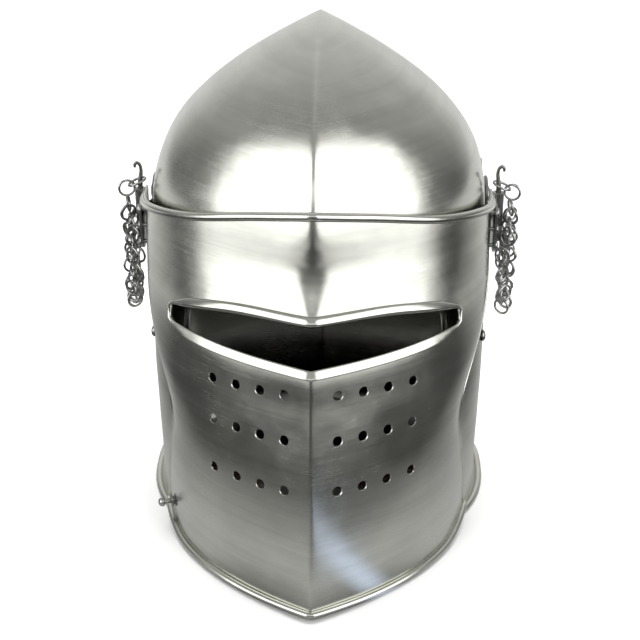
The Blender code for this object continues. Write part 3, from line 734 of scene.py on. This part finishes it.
def make_leaf(side, sign):
    """The plate on the visor's side, notched for the arm's knuckle, with its two knuckles and rivets."""
    a, b, _, _, e, f = KNUCKLES
    near, notch = PIN_Y - KNUCKLE_R * 0.55, PIN_Y - KNUCKLE_R - 0.5
    outline = [(near, a), (near, b), (notch, b), (notch, e), (near, e), (near, f)]
    outline += [(12, f), (6, f - 4), (6, a + 4), (12, a)]
    at = upright(sign * (LEAF_X + LEAF_SHEET / 2))
    parts = [slab(rounded(outline, 1.6), at, LEAF_SHEET, 0.3)]
    for low, high in ((a, b), (e, f)):
        back, foot, top = PIN_Y - KNUCKLE_R * 0.9, low + 0.3, high - 0.3
        parts.append(knuckle_tube(sign, low, high))
        parts.append(slab([(back, foot), (PIN_Y, foot), (PIN_Y, top), (back, top)], at, LEAF_SHEET * 0.98, 0))
    piece(side + "_hinge_leaf", join_parts(parts), WORN_STEEL, "visor", side + "_visor_leaf", sharp=40)
    for number, z in enumerate(LEAF_RIVET_ZS, 1):
        at = facing((sign * (LEAF_X + LEAF_SHEET), LEAF_RIVET_Y, z), (sign, 0, 0))
        name = f"{side}_hinge_rivet_{number}"
        rivet(name, at, 3.2, 1.9, 6.2, "visor", f"{side}_leaf_rivet_{number}", number)


def dome(radius, rise, span, count, power=1.0):
    """The profile of a rivet's head, from its top down to near its edge."""
    turns = np.linspace(0, pi / 2 * span, count)
    return [(radius * sin(a), rise * cos(a) ** power) for a in turns]


def rivet(name, at, head, rise, reach, body, node, seed):
    """A hammered round head with a soft edge, its shank, and a small peened end."""
    profile = dome(head, rise, 0.97, 9, 0.8) + [(head, 0.12), (head * 0.97, 0), (1.45, 0), (1.45, -reach)]
    profile += [(2.1, -reach), (1.9, -reach - 0.6), (1, -reach - 0.9), (0, -reach - 1)]
    verts, faces = lathed(profile, Matrix.Identity(4))
    for v in verts:
        if v.z > 0.2:
            v.z += 0.12 * noise.noise(v / 1.7 + Vector((seed, 0, 0)))
    piece(name, moved((verts, faces), at), RIVET_STEEL, body, node, sharp=45)


def make_arm(side, sign):
    """The pivot arm: an eye on the pivot bolt, a strap stepped outwards, and the hinge's middle knuckle."""
    low, high = KNUCKLES[2], KNUCKLES[3]
    near, inner = PIN_Y + KNUCKLE_R + 1, ARM_X + ARM_SLACK
    plan = [(inner, PIVOT_Y - 5), (inner, near + 5), (LEAF_X, near), (LEAF_X, PIN_Y)]
    plan += [(x + ARM_SHEET - 2 * ARM_SLACK, y) for x, y in reversed(plan)]
    at = Matrix.Translation((0, 0, (low + high) / 2))
    strap = slab([(sign * x, y) for x, y in plan], at, high - low, 0.35)
    at = facing((sign * (ARM_X + ARM_SHEET / 2), PIVOT_Y, PIVOT_Z), (1, 0, 0))
    eye = tube_ring(ARM_EYE, 3.4, ARM_SHEET / 2, at, 56, 0.4)
    parts = join_parts([strap, eye, knuckle_tube(sign, low, high)])
    piece(side + "_pivot_eye", parts, DARK_STEEL, "visor", side + "_pivot_arm", sharp=40)


def make_pivot(side, sign):
    """The bolt that the arm turns on, its washer against the skull, and its nut inside."""

    def at(x):
        return facing((sign * x, PIVOT_Y, PIVOT_Z), (sign, 0, 0))

    profile = dome(6, 2.55, 0.96, 10) + [(5.9, 0), (3, 0), (3, -12), (2.6, -12.4), (0, -12.4)]
    bolt = lathed(profile, at(ARM_X + ARM_SHEET + 0.2), 40)
    piece(side + "_bolt", bolt, RIVET_STEEL, "helmet", side + "_pivot_bolt", sharp=40)
    spacer = tube_ring(6.5, 3.3, 0.35, at(ARM_X - 0.65), 36, 0.15)
    piece(side + "_spacer", spacer, DARK_STEEL, "helmet", side + "_pivot_washer", sharp=40)
    piece(side + "_nut", hex_nut(5.5, 3.05, 3, at(104.9)), DARK_STEEL, "helmet", side + "_pivot_nut", sharp=30)


def hex_nut(corner, bore, height, at):
    """A six-sided nut whose corners are turned off at both faces."""
    sixth, high = pi / 3, height / 2
    rows = []
    for radius, z in ((bore, high), (bore, -high), (corner * 0.9, -high), (corner, 0.7 - high),
                      (corner, high - 0.7), (corner * 0.9, high)):
        row = []
        for turn in around(48):
            flat = corner * cos(sixth / 2) / cos((turn + sixth / 2) % sixth - sixth / 2)
            reach = min(radius, flat)
            row.append(Vector((reach * cos(turn), reach * sin(turn), z)))
        rows.append(row)
    return moved(lofted(rows, closed_round=True, closed_along=True), at)


def curl(points, count):
    """A smooth path through the points, by a Catmull-Rom spline."""
    points = [Vector(p) for p in points]
    ends = [points[0] * 2 - points[1]] + points + [points[-1] * 2 - points[-2]]
    made = []
    spans = len(points) - 1
    for step in range(count + 1):
        at = step / count * spans
        i = min(int(at), spans - 1)
        t = at - i
        a, b, c, d = ends[i], ends[i + 1], ends[i + 2], ends[i + 3]
        made.append(0.5 * (2 * b + (c - a) * t + (2 * a - 5 * b + 4 * c - d) * t * t
                           + (3 * b - a - 3 * c + d) * t * t * t))
    return made


def make_pin(side, sign):
    """The draw pin with its hooked top, and the ring that hangs the tassel on it."""
    path = curl([(sign * (PIN_X + x), PIN_Y, z) for x, z in PIN_HOOK], 90)
    radii = []
    for i, point in enumerate(path):
        slim = mix(1, 0.66, ease((point.z - 221) / 12))
        foot = mix(0.45, 1, ease((point.z - PIN_HOOK[0][1]) / 2.5))
        tip = 1 - 0.25 * ease((i - 78) / 12)
        radii.append(PIN_R * 0.97 * slim * foot * tip)
    piece(side + "_draw_pin", swept(path, radii, sides=16), DARK_STEEL, side + "_pin", side + "_pin", sharp=60)
    x, y, z = PIN_X + 2.1, PIN_Y, 222
    loop = [(sign * (x + 5.6 * cos(a)), y + 5.6 * sin(a), z - 2.2 * cos(a)) for a in around(40)]
    ring = swept(loop, 0.84, sides=10, closed=True)
    piece(side + "_top_ring", ring, MAIL_STEEL, side + "_pin", side + "_pin_ring")


# The tassels of mail.


def ring_of_mail(centre, normal, seed):
    """One closed ring, a little out of round, with a flattened lap where its ends are riveted."""
    normal = Vector(normal).normalized()
    side = normal.cross(UP).normalized()
    top = side.cross(normal)
    points, radii = [], []
    for k, turn in enumerate(around(RING_STEPS)):
        reach = RING_R * (1 + 0.03 * cos(2 * turn + seed))
        points.append(Vector(centre) + (side * cos(turn) + top * sin(turn)) * reach)
        gap = abs(k - seed % RING_STEPS)
        radii.append(RING_WIRE * (1.28 if min(gap, RING_STEPS - gap) < 2 else 1))
    return swept(points, radii, sides=8, closed=True)


def make_tassel(side, sign, seed):
    """Rings that face forwards in rows of four, each row linked to the next by rings that stand edge on."""
    chance = random.Random(seed)
    parts = [ring_of_mail((TASSEL_X, PIN_Y, TASSEL_TOP), (0.5, 1, 0), seed)]
    hang = TASSEL_TOP - 1.35 * ROW_PITCH
    row = 0
    while hang - RING_R > TASSEL_FOOT:
        narrow = 1 - 0.4 * ease((150 - hang) / 16)
        spacing = ease(0.35 + row / 2) * narrow
        fan = narrow * ease((207 - hang) / 22)
        for y in TASSEL_COLUMNS if row else TASSEL_COLUMNS[1:3]:
            inboard = fan * chance.uniform(0.6, 5) if y in (TASSEL_COLUMNS[0], TASSEL_COLUMNS[-1]) else 0
            place = (TASSEL_X - inboard, PIN_Y + y * spacing, hang + chance.uniform(-1.6, 1.6))
            lean = chance.choice((-1, 1)) * chance.uniform(0.7, 0.9)
            normal = (lean, 1, chance.uniform(-0.15, 0.15))
            parts.append(ring_of_mail(place, normal, chance.randrange(RING_STEPS)))
        for left in range(3) if row else (1,):
            y = (TASSEL_COLUMNS[left] + TASSEL_COLUMNS[left + 1]) / 2
            inboard = 0.4 if left == 1 else 0.3 + 2.8 * fan
            place = (TASSEL_X - inboard, PIN_Y + y * spacing, hang + ROW_PITCH / 2)
            normal = (1, chance.uniform(-0.6, 0.6), chance.uniform(-0.15, 0.15))
            parts.append(ring_of_mail(place, normal, chance.randrange(RING_STEPS)))
        hang -= ROW_PITCH
        row += 1
    tassel = moved(join_parts(parts), Matrix.Diagonal((sign, 1, 1, 1)))
    piece(side + "_mail_tassel", tassel, MAIL_STEEL, side + "_tassel", side + "_tassel", sharp=60)


# The peg.


def make_peg():
    """The push peg, drawn out, and the bush in the visor that guides it."""
    place, inward = peg_frame()
    at = facing(place, -inward)
    head = [(0, 4.5), (0.9, 4.42), (1.8, 4.1), (2.6, 3.4), (3.1, 2.5), (3.2, 1.9), (3, 1), (2.4, 0.4), (1.8, 0)]
    profile = [(r, h + PEG_OUT) for r, h in head] + [(1.8, -9.2), (1.2, -10.2), (0, -10.2)]
    piece("push_peg", lathed(profile, at, 36), RIVET_STEEL, "peg", "cheek_peg", sharp=40)
    flange, sleeve, bore = 4.6, 2.75, 2.1
    profile = [(bore, 2.05), (flange - 0.5, 2.05), (flange, 1.6), (flange, 1.1), (sleeve, 1.1), (sleeve, -3.2)]
    profile += [(bore, -3.2), (bore, 2.05)]
    piece("bush", lathed(profile, at, 36), DARK_STEEL, "visor", "peg_bush", sharp=40)


# The lining.


def liner_rivet_places():
    """The number, place and outward direction of each lining rivet."""
    ring = skull_ring(225, 61)
    for number in range(1, 6):
        i = round((0.2 + number / 10) * len(ring))
        along = ring[(i + 1) % len(ring)] - ring[i - 1]
        yield number, ring[i], along.cross(UP).normalized()


def stitch_run(points, normals, length, gap, radius):
    """Short thread stitches along a path, each lifted over the leather at its middle."""
    path = [0.0]
    for a, b in zip(points, points[1:]):
        path.append(path[-1] + (b - a).length)

    def at(distance):
        i = min(max(int(np.searchsorted(path, distance)) - 1, 0), len(points) - 2)
        t = (distance - path[i]) / (path[i + 1] - path[i])
        return points[i].lerp(points[i + 1], t), normals[i].lerp(normals[i + 1], t).normalized()

    parts = []
    place = gap
    while place + length < path[-1]:
        run = []
        for t in np.linspace(0, 1, 6):
            point, normal = at(place + t * length)
            run.append(point + normal * radius * (1.5 * sin(pi * t) - 0.7))
        parts.append(swept(run, [radius * 0.8] + [radius] * 4 + [radius * 0.8], sides=6))
        place += length + gap
    return join_parts(parts)


def make_band():
    """The leather band inside the brow, thick, with rounded edges and a row of stitches."""
    heights = [212, 212.15, 212.7, 213.6, 216, 220, 225, 230, 234, 236.6, 237.3, 237.85, 238]
    swell = [-0.9, -0.35, -0.08, 0, 0, 0, 0, 0, 0, 0, -0.08, -0.35, -0.9]
    outer = [skull_ring(z, 97, BAND_AT - s * 0.9) for z, s in zip(heights, swell)]
    inner = [skull_ring(z, 97, BAND_AT + LEATHER + s * 0.9) for z, s in zip(heights, swell)]
    verts, faces = lofted(outer + inner[::-1] + outer[:1], closed_round=True)
    verts = [v + Vector((v.x, v.y - SKULL_WIDEST, 0)).normalized() * 0.25 * noise.noise(v / 14) for v in verts]
    piece("brow_band", (verts, faces), LEATHER_BROWN, "helmet", "liner_band")
    inside = skull_ring(214.6, 241, BAND_AT + LEATHER)
    inside.append(inside[0])
    normals = [(Vector((0, SKULL_WIDEST, p.z)) - p).normalized() for p in inside]
    piece("brow_band_stitching", stitch_run(inside, normals, 4.2, 2.2, 0.42), THREAD, "helmet")


def tongue_point(share, climb, drop=0.0):
    """A point of the tongues' dome: share goes round the section and climb from the band to the lace."""
    place = share % 1 * len(TONGUE_RING)
    i = int(place)
    edge = TONGUE_RING[i].lerp(TONGUE_RING[(i + 1) % len(TONGUE_RING)], place - i)
    angle = radians(78) * climb
    centre = Vector((0, SKULL_WIDEST, 0))
    flat = centre + (Vector((edge.x, edge.y, 0)) - centre) * (cos(angle) - drop / 90)
    return Vector((flat.x, flat.y, 231 + (56 - drop) * sin(angle)))


TONGUE_RING = skull_ring(226, 161, BAND_AT + LEATHER + 2.8)


def make_tongue(number):
    """One leather tongue: it narrows upwards, ends in a rounded tip, and sags between its edges."""
    grid = []
    for climb in np.linspace(0, 1, 30):
        spread = mix(0.46, 0.40, climb)
        if climb > TONGUE_TIP:
            spread *= sqrt(max(1 - ((climb - TONGUE_TIP) / (1 - TONGUE_TIP)) ** 2, 0.004))
        line = []
        for side in np.linspace(-1, 1, 13):
            sag = 1.6 * (1 - side * side) * sin(pi * climb)
            line.append(tongue_point((number - 0.5 + spread * side) / TONGUES, climb, 0.2 + sag))
        grid.append(line)
    sheet, _ = solid_sheet(lofted(grid), LEATHER * 0.92)
    piece(f"tongue_{number}", sheet, LEATHER_TAN, "helmet", f"liner_tongue_{number}", sharp=70)


def make_lace():
    """The lace that gathers the tongues, a twisted cord of three strands lying on their inner side."""
    steps = 420
    middle = [tongue_point(i / steps, 0.93) - Vector((0, 0, 5)) for i in range(steps)]
    strands = []
    for strand in range(3):
        path = []
        for i, point in enumerate(middle):
            along = (middle[(i + 1) % steps] - middle[i - 1]).normalized()
            side = along.cross(UP).normalized()
            turn = 2 * pi * (i * 26 / steps + strand / 3)
            path.append(point + (side * cos(turn) + side.cross(along) * sin(turn)) * 0.52)
        strands.append(swept(path, 0.56, sides=7, closed=True))
    piece("gathering_lace", join_parts(strands), LACE, "helmet", "crown_lace")


def make_liner_rivets():
    """The rivets round the back that hold the lining, and their burrs inside."""
    for number, place, direction in liner_rivet_places():
        at = facing(place + direction * 0.1, direction)
        rivet(f"band_rivet_{number}", at, 3.6, 2, 9.4, "helmet", f"liner_rivet_{number}", number + 10)
        at = facing(place - direction * (BAND_AT + LEATHER + 2.85), direction)
        burr = tube_ring(4.2, 1.6, 0.45, at, 32, 0.2)
        piece(f"band_burr_{number}", burr, DARK_STEEL, "helmet", f"liner_burr_{number}", sharp=40)


# The chin strap.


def across_path(path, i):
    """The upward normal of a path in the XZ plane at one of its points."""
    along = path[min(i + 1, len(path) - 1)] - path[max(i - 1, 0)]
    return Vector((-along.z, 0, along.x)).normalized()


def strap_mesh(path):
    """A flat strap along a path, rounded at its edges, with a turned-in tip at its far end."""
    t, w = STRAP_T / 2, STRAP_W / 2
    section = [(-w, -t * 0.3), (-w + 0.25, -t * 0.8), (-w + 0.8, -t)]
    section += [(y, -t) for y in (-8, -5, -2, 2, 5, 8)]
    section += [(w - 0.8, -t), (w - 0.25, -t * 0.8), (w, -t * 0.3)]
    section += [(-a, -b) for a, b in section]
    rows = []
    for i, point in enumerate(path):
        pinch = mix(0.45, 1, sin(min((len(path) - 1 - i) / 9, 1) * pi / 2))
        lift = 0.25 * noise.noise(point / 17) - t
        normal = across_path(path, i)
        rows.append([point + normal * (v + lift) + Vector((0, STRAP_Y + u * pinch, 0)) for u, v in section])
    return outward_face(capped(lofted(rows, closed_round=True), len(section)))


def strap_stitches(path):
    parts = []
    places = range(4, len(path) - 10)
    normals = [across_path(path, i) for i in places]
    for side in (-1, 1):
        points = [path[i] + Vector((0, STRAP_Y + side * 7.6, 0)) for i in places]
        parts.append(stitch_run(points, normals, 3.6, 2, 0.36))
        low = [p - n * STRAP_T for p, n in zip(points, normals)]
        parts.append(stitch_run(low, [-n for n in normals], 3.6, 2, 0.36))
    return join_parts(parts)


def outward_face(part):
    """The closed part with its faces turned so that it encloses a positive volume."""
    verts, faces = part
    volume = 0.0
    for face in faces:
        for i in range(1, len(face) - 1):
            volume += verts[face[0]].dot(verts[face[i]].cross(verts[face[i + 1]]))
    return (verts, [tuple(reversed(face)) for face in faces]) if volume < 0 else part


def make_straps():
    """Both halves of the chin strap with their stitches, and the rivets and burrs that hold them."""
    for side, route in (("left", LEFT_ROUTE), ("right", RIGHT_ROUTE)):
        path = curl([(x, 0, z) for x, z in route], 120)
        piece(side + "_strap", strap_mesh(path), LEATHER_BROWN, "helmet", side + "_chin_strap", sharp=60)
        piece(side + "_strap_stitching", strap_stitches(path), THREAD, "helmet")
    for side, sign in (("left", 1), ("right", -1)):
        half = skull_half(STRAP_RIVET_Z, 201)
        x = float(np.interp(STRAP_Y, half[:, 1], half[:, 0]))

        def at(out):
            return facing((sign * (x + out), STRAP_Y, STRAP_RIVET_Z), (sign, 0, 0))

        rivet(side + "_strap_stud", at(0.15), 4, 2.3, 10.6, "helmet", side + "_strap_rivet", 20 + sign)
        burr = tube_ring(4.4, 1.6, 0.45, at(-10.35), 32, 0.2)
        piece(side + "_strap_washer", burr, DARK_STEEL, "helmet", side + "_strap_burr", sharp=40)


def oblong(x0, y0, x1, y1, corner, steps):
    """A rectangle with rounded corners."""
    return rounded([(x0, y0), (x1, y0), (x1, y1), (x0, y1)], corner, steps)


def make_buckle():
    """A square frame with its prong."""
    corners = oblong(-6, -14.5, 20, 14.5, 4.5, 8)
    loop = []
    for i, (x, y) in enumerate(corners):
        x1, y1 = corners[(i + 1) % len(corners)]
        loop += [(mix(x, x1, t), STRAP_Y + mix(y, y1, t), BUCKLE_Z) for t in (0, 0.33, 0.67)]
    piece("buckle", swept(loop, 1.38, closed=True), DARK_STEEL, "helmet", "buckle_frame")
    line = [(17.5, 0), (14, 0.9), (4, 2.4), (-3, 2.7), (-7, 2.5)]
    prong = curl([(x, STRAP_Y, BUCKLE_Z + rise) for x, rise in line], 40)
    radii = [0.95 * mix(1, 0.55, ease((i - 26) / 14)) for i in range(len(prong))]
    piece("prong", swept(prong, radii, sides=12), DARK_STEEL, "prong", "buckle_prong", sharp=60)


def make_keeper():
    """The leather loop that holds the strap's free end."""
    outline = oblong(-12.3, 4, 12.3, 17.3, 2.2, 6)
    sizes = [(-1, 0.9867, 0.972), (-0.94, 0.9962, 0.992), (-0.8, 1, 1), (0.8, 1, 1), (0.94, 0.9962, 0.992),
             (1, 0.9867, 0.972), (1, 0.915, 0.82), (0, 0.915, 0.82), (-1, 0.915, 0.82)]
    rows = []
    for share, wide, high in sizes:
        rows.append([Vector((34 + share * 4, STRAP_Y + y * wide, mix(10.65, z, high))) for y, z in outline])
    part = lofted(rows + rows[:1], closed_round=True)
    piece("keeper", outward_face(part), LEATHER_BROWN, "helmet", "strap_keeper", sharp=50)


# Materials.


def grown(name):
    """A node material, its tree and its Principled shader."""
    made = bpy.data.materials.new(name)
    made.use_nodes = True
    return made, made.node_tree, made.node_tree.nodes["Principled BSDF"]


class Field:
    """A value or a colour in a node tree, which is reckoned with like a number."""

    def __init__(self, tree, kind, output, inputs=None, **settings):
        """A new node with its settings and inputs filled in; one of its outputs is the field."""
        self.tree = tree
        self.node = tree.nodes.new(kind)
        for key, value in settings.items():
            setattr(self.node, key, value)
        fill(self.node, inputs or {})
        self.socket = self.node.outputs[output]

    def math(self, kind, other=0.0):
        return Field(self.tree, "ShaderNodeMath", "Value", {0: self, 1: other}, operation=kind)

    def __add__(self, other):
        return self.math("ADD", other)

    def __sub__(self, other):
        return self.math("SUBTRACT", other)

    def __mul__(self, other):
        return self.math("MULTIPLY", other)

    def __abs__(self):
        return self.math("ABSOLUTE")

    def spread(self, low, high, out_low=0.0, out_high=1.0):
        """Maps a range of values onto another, clamped."""
        inputs = {"Value": self, "From Min": low, "From Max": high, "To Min": out_low, "To Max": out_high}
        return Field(self.tree, "ShaderNodeMapRange", "Result", inputs)

    def between(self, start, end):
        """A colour between two, by a factor from 0 to 1."""
        inputs = {"Factor": self, "A": start, "B": end}
        return Field(self.tree, "ShaderNodeMix", "Result", inputs, data_type="RGBA")

    def bump(self, distance, strength=1.0, under=None):
        """The normal of a surface that this height roughens, over another normal if there is one."""
        inputs = {"Height": self, "Distance": distance, "Strength": strength}
        if under:
            inputs["Normal"] = under
        return Field(self.tree, "ShaderNodeBump", "Normal", inputs)


def fill(node, inputs):
    """Links or sets a node's inputs."""
    for key, value in inputs.items():
        if isinstance(value, Field):
            value.tree.links.new(value.socket, node.inputs[key])
        else:
            node.inputs[key].default_value = value


def rgb(red, green, blue):
    return (red, green, blue, 1)


def axes(tree, kind="Object"):
    """The X, Y and Z of a place."""
    place = Field(tree, "ShaderNodeTexCoord", kind)
    return [Field(tree, "ShaderNodeSeparateXYZ", axis, {0: place}) for axis in "XYZ"]


def mapped(tree, stretch, turn=(0, 0, 0)):
    """The piece's own coordinates, stretched along its axes and turned."""
    place = Field(tree, "ShaderNodeTexCoord", "Object")
    return Field(tree, "ShaderNodeMapping", "Vector", {"Vector": place, "Scale": stretch, "Rotation": turn})


def grain(tree, scale, detail=3.0, stretch=(1, 1, 1), rough=0.55):
    inputs = {"Vector": mapped(tree, stretch), "Scale": scale, "Detail": detail, "Roughness": rough}
    return Field(tree, "ShaderNodeTexNoise", "Fac", inputs)


def cells(tree, scale, stretch=(1, 1, 1), turn=(0, 0, 0)):
    """The distance from the edges of a cell pattern."""
    inputs = {"Vector": mapped(tree, stretch, turn), "Scale": scale}
    return Field(tree, "ShaderNodeTexVoronoi", "Distance", inputs, feature="DISTANCE_TO_EDGE")


def scratches(tree, scale, turn):
    """Thin, long, broken lines: the edges of a stretched cell pattern, where a noise lets them show."""
    line = cells(tree, scale, (1, 1, 9), turn).spread(0.0, 0.006, 1.0, 0.0)
    return line * grain(tree, 24, 2).spread(0.60, 0.72, 0.0, 0.7)


def steel(name, dark, light, rough_low, rough_high, brush, dents):
    """Hand-polished steel: smudges, brushing round the piece, fine scratches and faint hammer marks."""
    made, tree, shader = grown(name)
    smudge = grain(tree, 17, 5)
    fine = grain(tree, 90, 4)
    lines = grain(tree, 9, 4, (1, 1, 120), 0.7)
    broad = grain(tree, 5, 3, (1, 1, 26), 0.6)
    marks = scratches(tree, 26, (0.5, 0.3, 0.2)) + scratches(tree, 34, (1.2, -0.6, 0.8))
    tone = smudge * 0.6 + broad * 0.4
    polish = smudge * 0.5 + lines * 0.35 + fine * 0.15
    hammered = grain(tree, 42, 2).bump(dents * MM)
    brushed = lines.bump(brush * MM, 1.0, hammered)
    fill(shader, {
        "Metallic": 1.0,
        "Base Color": tone.spread(0.38, 0.62).between(rgb(*dark), rgb(*light)),
        "Roughness": polish.spread(0.38, 0.62, rough_low, rough_high) + marks * 0.1,
        "Normal": (fine * 0.25 - marks).bump(0.02 * MM, 1.0, brushed),
    })
    return made


def leather(name, dark, light):
    """Vegetable-tanned leather: pebbled grain, darker creases, and lighter, smoother patches of wear spread by
    a noise.
    """
    made, tree, shader = grown(name)
    pores = cells(tree, 950).spread(0.0, 0.28)
    tone = grain(tree, 38, 5) * 0.75 + pores * 0.25
    folds = grain(tree, 120, 4).bump(0.25 * MM, 0.7)
    fill(shader, {
        "Base Color": tone.spread(0.35, 0.72).between(rgb(*dark), rgb(*light)),
        "Roughness": tone.spread(0.3, 0.8, 0.74, 0.48),
        "Normal": pores.bump(0.12 * MM, 0.8, folds),
        "Specular IOR Level": 0.4,
    })
    return made


def yarn(name, dark, light, scale):
    """Waxed thread or cord: fine fibres across its twist."""
    made, tree, shader = grown(name)
    fibres = grain(tree, scale, 4, (1, 1, 5), 0.7)
    tone = fibres * 0.6 + grain(tree, 60, 3) * 0.4
    fill(shader, {
        "Base Color": tone.spread(0.35, 0.65).between(rgb(*dark), rgb(*light)),
        "Roughness": 0.75,
        "Normal": fibres.bump(0.12 * MM, 0.8),
    })
    return made


STEEL = steel("polished_plate", (0.53, 0.535, 0.485), (0.66, 0.665, 0.61), 0.17, 0.29, 0.012, 0.11)
STEEL_ROLL = steel("polished_roll", (0.57, 0.575, 0.52), (0.70, 0.705, 0.65), 0.14, 0.26, 0.006, 0.05)
WORN_STEEL = steel("worn_hinge_steel", (0.34, 0.34, 0.33), (0.52, 0.52, 0.51), 0.22, 0.38, 0.01, 0.10)
DARK_STEEL = steel("dark_fittings_steel", (0.20, 0.195, 0.19), (0.36, 0.355, 0.345), 0.24, 0.42, 0.01, 0.12)
RIVET_STEEL = steel("rivet_head_steel", (0.36, 0.36, 0.35), (0.55, 0.55, 0.54), 0.18, 0.34, 0.006, 0.14)
MAIL_STEEL = steel("mail_ring_steel", (0.30, 0.30, 0.295), (0.66, 0.66, 0.65), 0.16, 0.32, 0.006, 0.05)
LEATHER_BROWN = leather("saddle_leather", (0.060, 0.028, 0.014), (0.210, 0.105, 0.050))
LEATHER_TAN = leather("lining_leather", (0.145, 0.080, 0.040), (0.360, 0.225, 0.125))
THREAD = yarn("waxed_thread", (0.42, 0.36, 0.27), (0.68, 0.61, 0.48), 900)
LACE = yarn("flax_lace", (0.27, 0.20, 0.12), (0.52, 0.42, 0.28), 700)


# The studio.

LIGHT_DISTANCE = 2.2


def aimed(azimuth, elevation, distance, target, roll=0.0):
    """Where a camera or light stands that faces the target; azimuth 0 is the front and 90 is +X."""
    a, e = radians(azimuth), radians(elevation)
    aim = Vector((cos(e) * sin(a), -cos(e) * cos(a), sin(e)))
    side = UP.cross(aim).normalized()
    turn = Matrix((side, aim.cross(side), aim)).transposed().to_4x4()
    return Matrix.Translation(Vector(target) + aim * distance) @ turn @ Matrix.Rotation(radians(roll), 4, "Z")


def make_camera():
    lens = bpy.data.cameras.new("camera")
    lens.sensor_width = 36
    lens.lens = 74.4
    lens.clip_start = 0.01
    lens.clip_end = 50
    camera = linked("camera", lens)
    camera.matrix_world = aimed(1.75, 27.5, distance=0.885, target=(0.0017, 0.003, 0.1362))
    bpy.context.scene.camera = camera


def level_plane(name, size, height, finish):
    corners = [Vector((x * size, y * size, height)) for x, y in ((-1, -1), (1, -1), (1, 1), (-1, 1))]
    mesh = plain_mesh(name, (corners, [(0, 1, 2, 3)]))
    mesh.materials.append(finish)
    plane = linked(name, mesh)
    return plane


def make_floor():
    """A plain white floor with a painted shadow under the back of the helmet. The steel mirrors a dimmer card
    just below.
    """
    made, tree, shader = grown("pale_floor")
    x, y, _ = axes(tree)
    behind = (y - 0.070) * 1.4
    away = x * x + behind * behind
    pale = grain(tree, 3, 2).between(rgb(0.88, 0.88, 0.88), rgb(0.90, 0.90, 0.90))
    fill(shader, {
        # Painted shadow: the floor's colour goes nearly black in an oval under the back of the helmet.
        "Base Color": away.spread(0.0040, 0.0090).between(rgb(0.03, 0.03, 0.03), pale),
        "Roughness": 0.9,
        "Specular IOR Level": 0.0,
    })
    level_plane("studio_floor", 6.0, 0.0, made).visible_glossy = False
    card = level_plane("mirrored_card", 5.9, -0.002, card_finish())
    card.visible_camera = card.visible_diffuse = card.visible_shadow = card.visible_transmission = False


def card_finish():
    """What the steel mirrors from below: black under the helmet, a painted shade, then grey near it, dim
    further off, pale behind and at both sides in front, and one cool strip of light in front on the +X side,
    beside a dimmer stretch."""
    made, tree, shader = grown("card")
    x, y, _ = axes(tree)
    wide = x * 1.6
    away = (wide * wide + y * y).math("SQRT")
    level = away.spread(0.20, 0.46, 1, 0) * 0.46 + y.spread(0.06, 0.45) * 0.75 + 0.08
    # Painted shade: the card's light falls to black in an oval under the helmet, as if the helmet shaded it.
    level = level * away.spread(0.12, 0.17)
    level = level + abs(x).spread(0.75, 1.0) * away.spread(1.5, 2.0) * y.spread(-0.60, -0.30, 1.1, 0)
    strip = radians(24)
    along = x * sin(strip) - y * cos(strip)
    beside = abs(x * cos(strip) + y * sin(strip))
    level = level * beside.spread(0.06, 0.16, 0.6, 1).math("MAXIMUM", along.spread(0.30, 0.16))
    beam = beside.spread(0.003, 0.016, 1, 0) * along.spread(0.10, 0.14) * along.spread(0.26, 0.55, 1, 0)
    fill(shader, {
        "Base Color": rgb(0, 0, 0),
        "Roughness": 1.0,
        "Specular IOR Level": 0.0,
        "Emission Color": beam.between(level, rgb(0.92, 1.04, 1.32)),
        "Emission Strength": 1.0,
    })
    return made


def softbox(name, azimuth, elevation, wide, high, radiance, roll=0.0):
    """An area light that faces the helmet; its place and its sizes are angles in degrees."""
    data = bpy.data.lights.new(name, "AREA")
    data.shape = "RECTANGLE"
    data.size, data.size_y = [2 * LIGHT_DISTANCE * tan(radians(angle / 2)) for angle in (wide, high)]
    data.energy = radiance * pi * data.size * data.size_y
    light = linked(name, data)
    light.matrix_world = aimed(azimuth, elevation, LIGHT_DISTANCE, (0, 0, 0.15), roll)
    light.visible_camera = False
    return light


def make_world():
    """A room that is dim in front and beside the lights, pale behind, and grey overhead."""
    world = bpy.data.worlds.new("studio")
    bpy.context.scene.world = world
    world.use_nodes = True
    tree = world.node_tree
    x, y, z = axes(tree, "Generated")
    azimuth = abs(x).math("ARCTAN2", y * -1)
    walls = Field(tree, "ShaderNodeValToRGB", "Color", {"Fac": azimuth.math("DIVIDE", pi)})
    ramp = walls.node.color_ramp
    stops = [(0, 0.14), (35, 0.18), (60, 0.30), (88, 0.15), (118, 0.14), (138, 0.50), (155, 0.80), (180, 0.85)]
    while len(ramp.elements) < len(stops):
        ramp.elements.new(0.5)
    for element, (angle, value) in zip(ramp.elements, stops):
        element.position = angle / 180
        element.color = rgb(value, value, value)
    ceiling = abs(x).spread(0.25, 0.65, 0.44, 0.22) + y.spread(0.0, 0.5, 0.0, 0.3)
    fill(tree.nodes["Background"], {"Color": z.spread(0.15, 0.65).between(walls, ceiling), "Strength": 1.0})


def make_studio():
    make_camera()
    make_floor()
    make_world()
    softbox("left_softbox", -57, 25, 48, 48, 2.1, 12)
    softbox("right_softbox", 57, 26, 48, 51, 2.1, -12)
    softbox("front_strip", 0, 37, 60, 9, 1.3)
    softbox("floor_light", 180, 78, 50, 50, 5.0).visible_glossy = False
    view = bpy.context.scene.view_settings
    view.view_transform = "Standard"
    view.look = "None"


def main():
    make_studio()
    make_skull()
    make_visor()
    for side, sign, seed in (("left", 1, 5), ("right", -1, 11)):
        make_leaf(side, sign)
        make_arm(side, sign)
        make_pivot(side, sign)
        make_pin(side, sign)
        make_tassel(side, sign, seed)
    make_peg()
    make_band()
    for number in range(1, TONGUES + 1):
        make_tongue(number)
    make_lace()
    make_liner_rivets()
    make_straps()
    make_buckle()
    make_keeper()
    bpy.context.view_layer.update()


main()
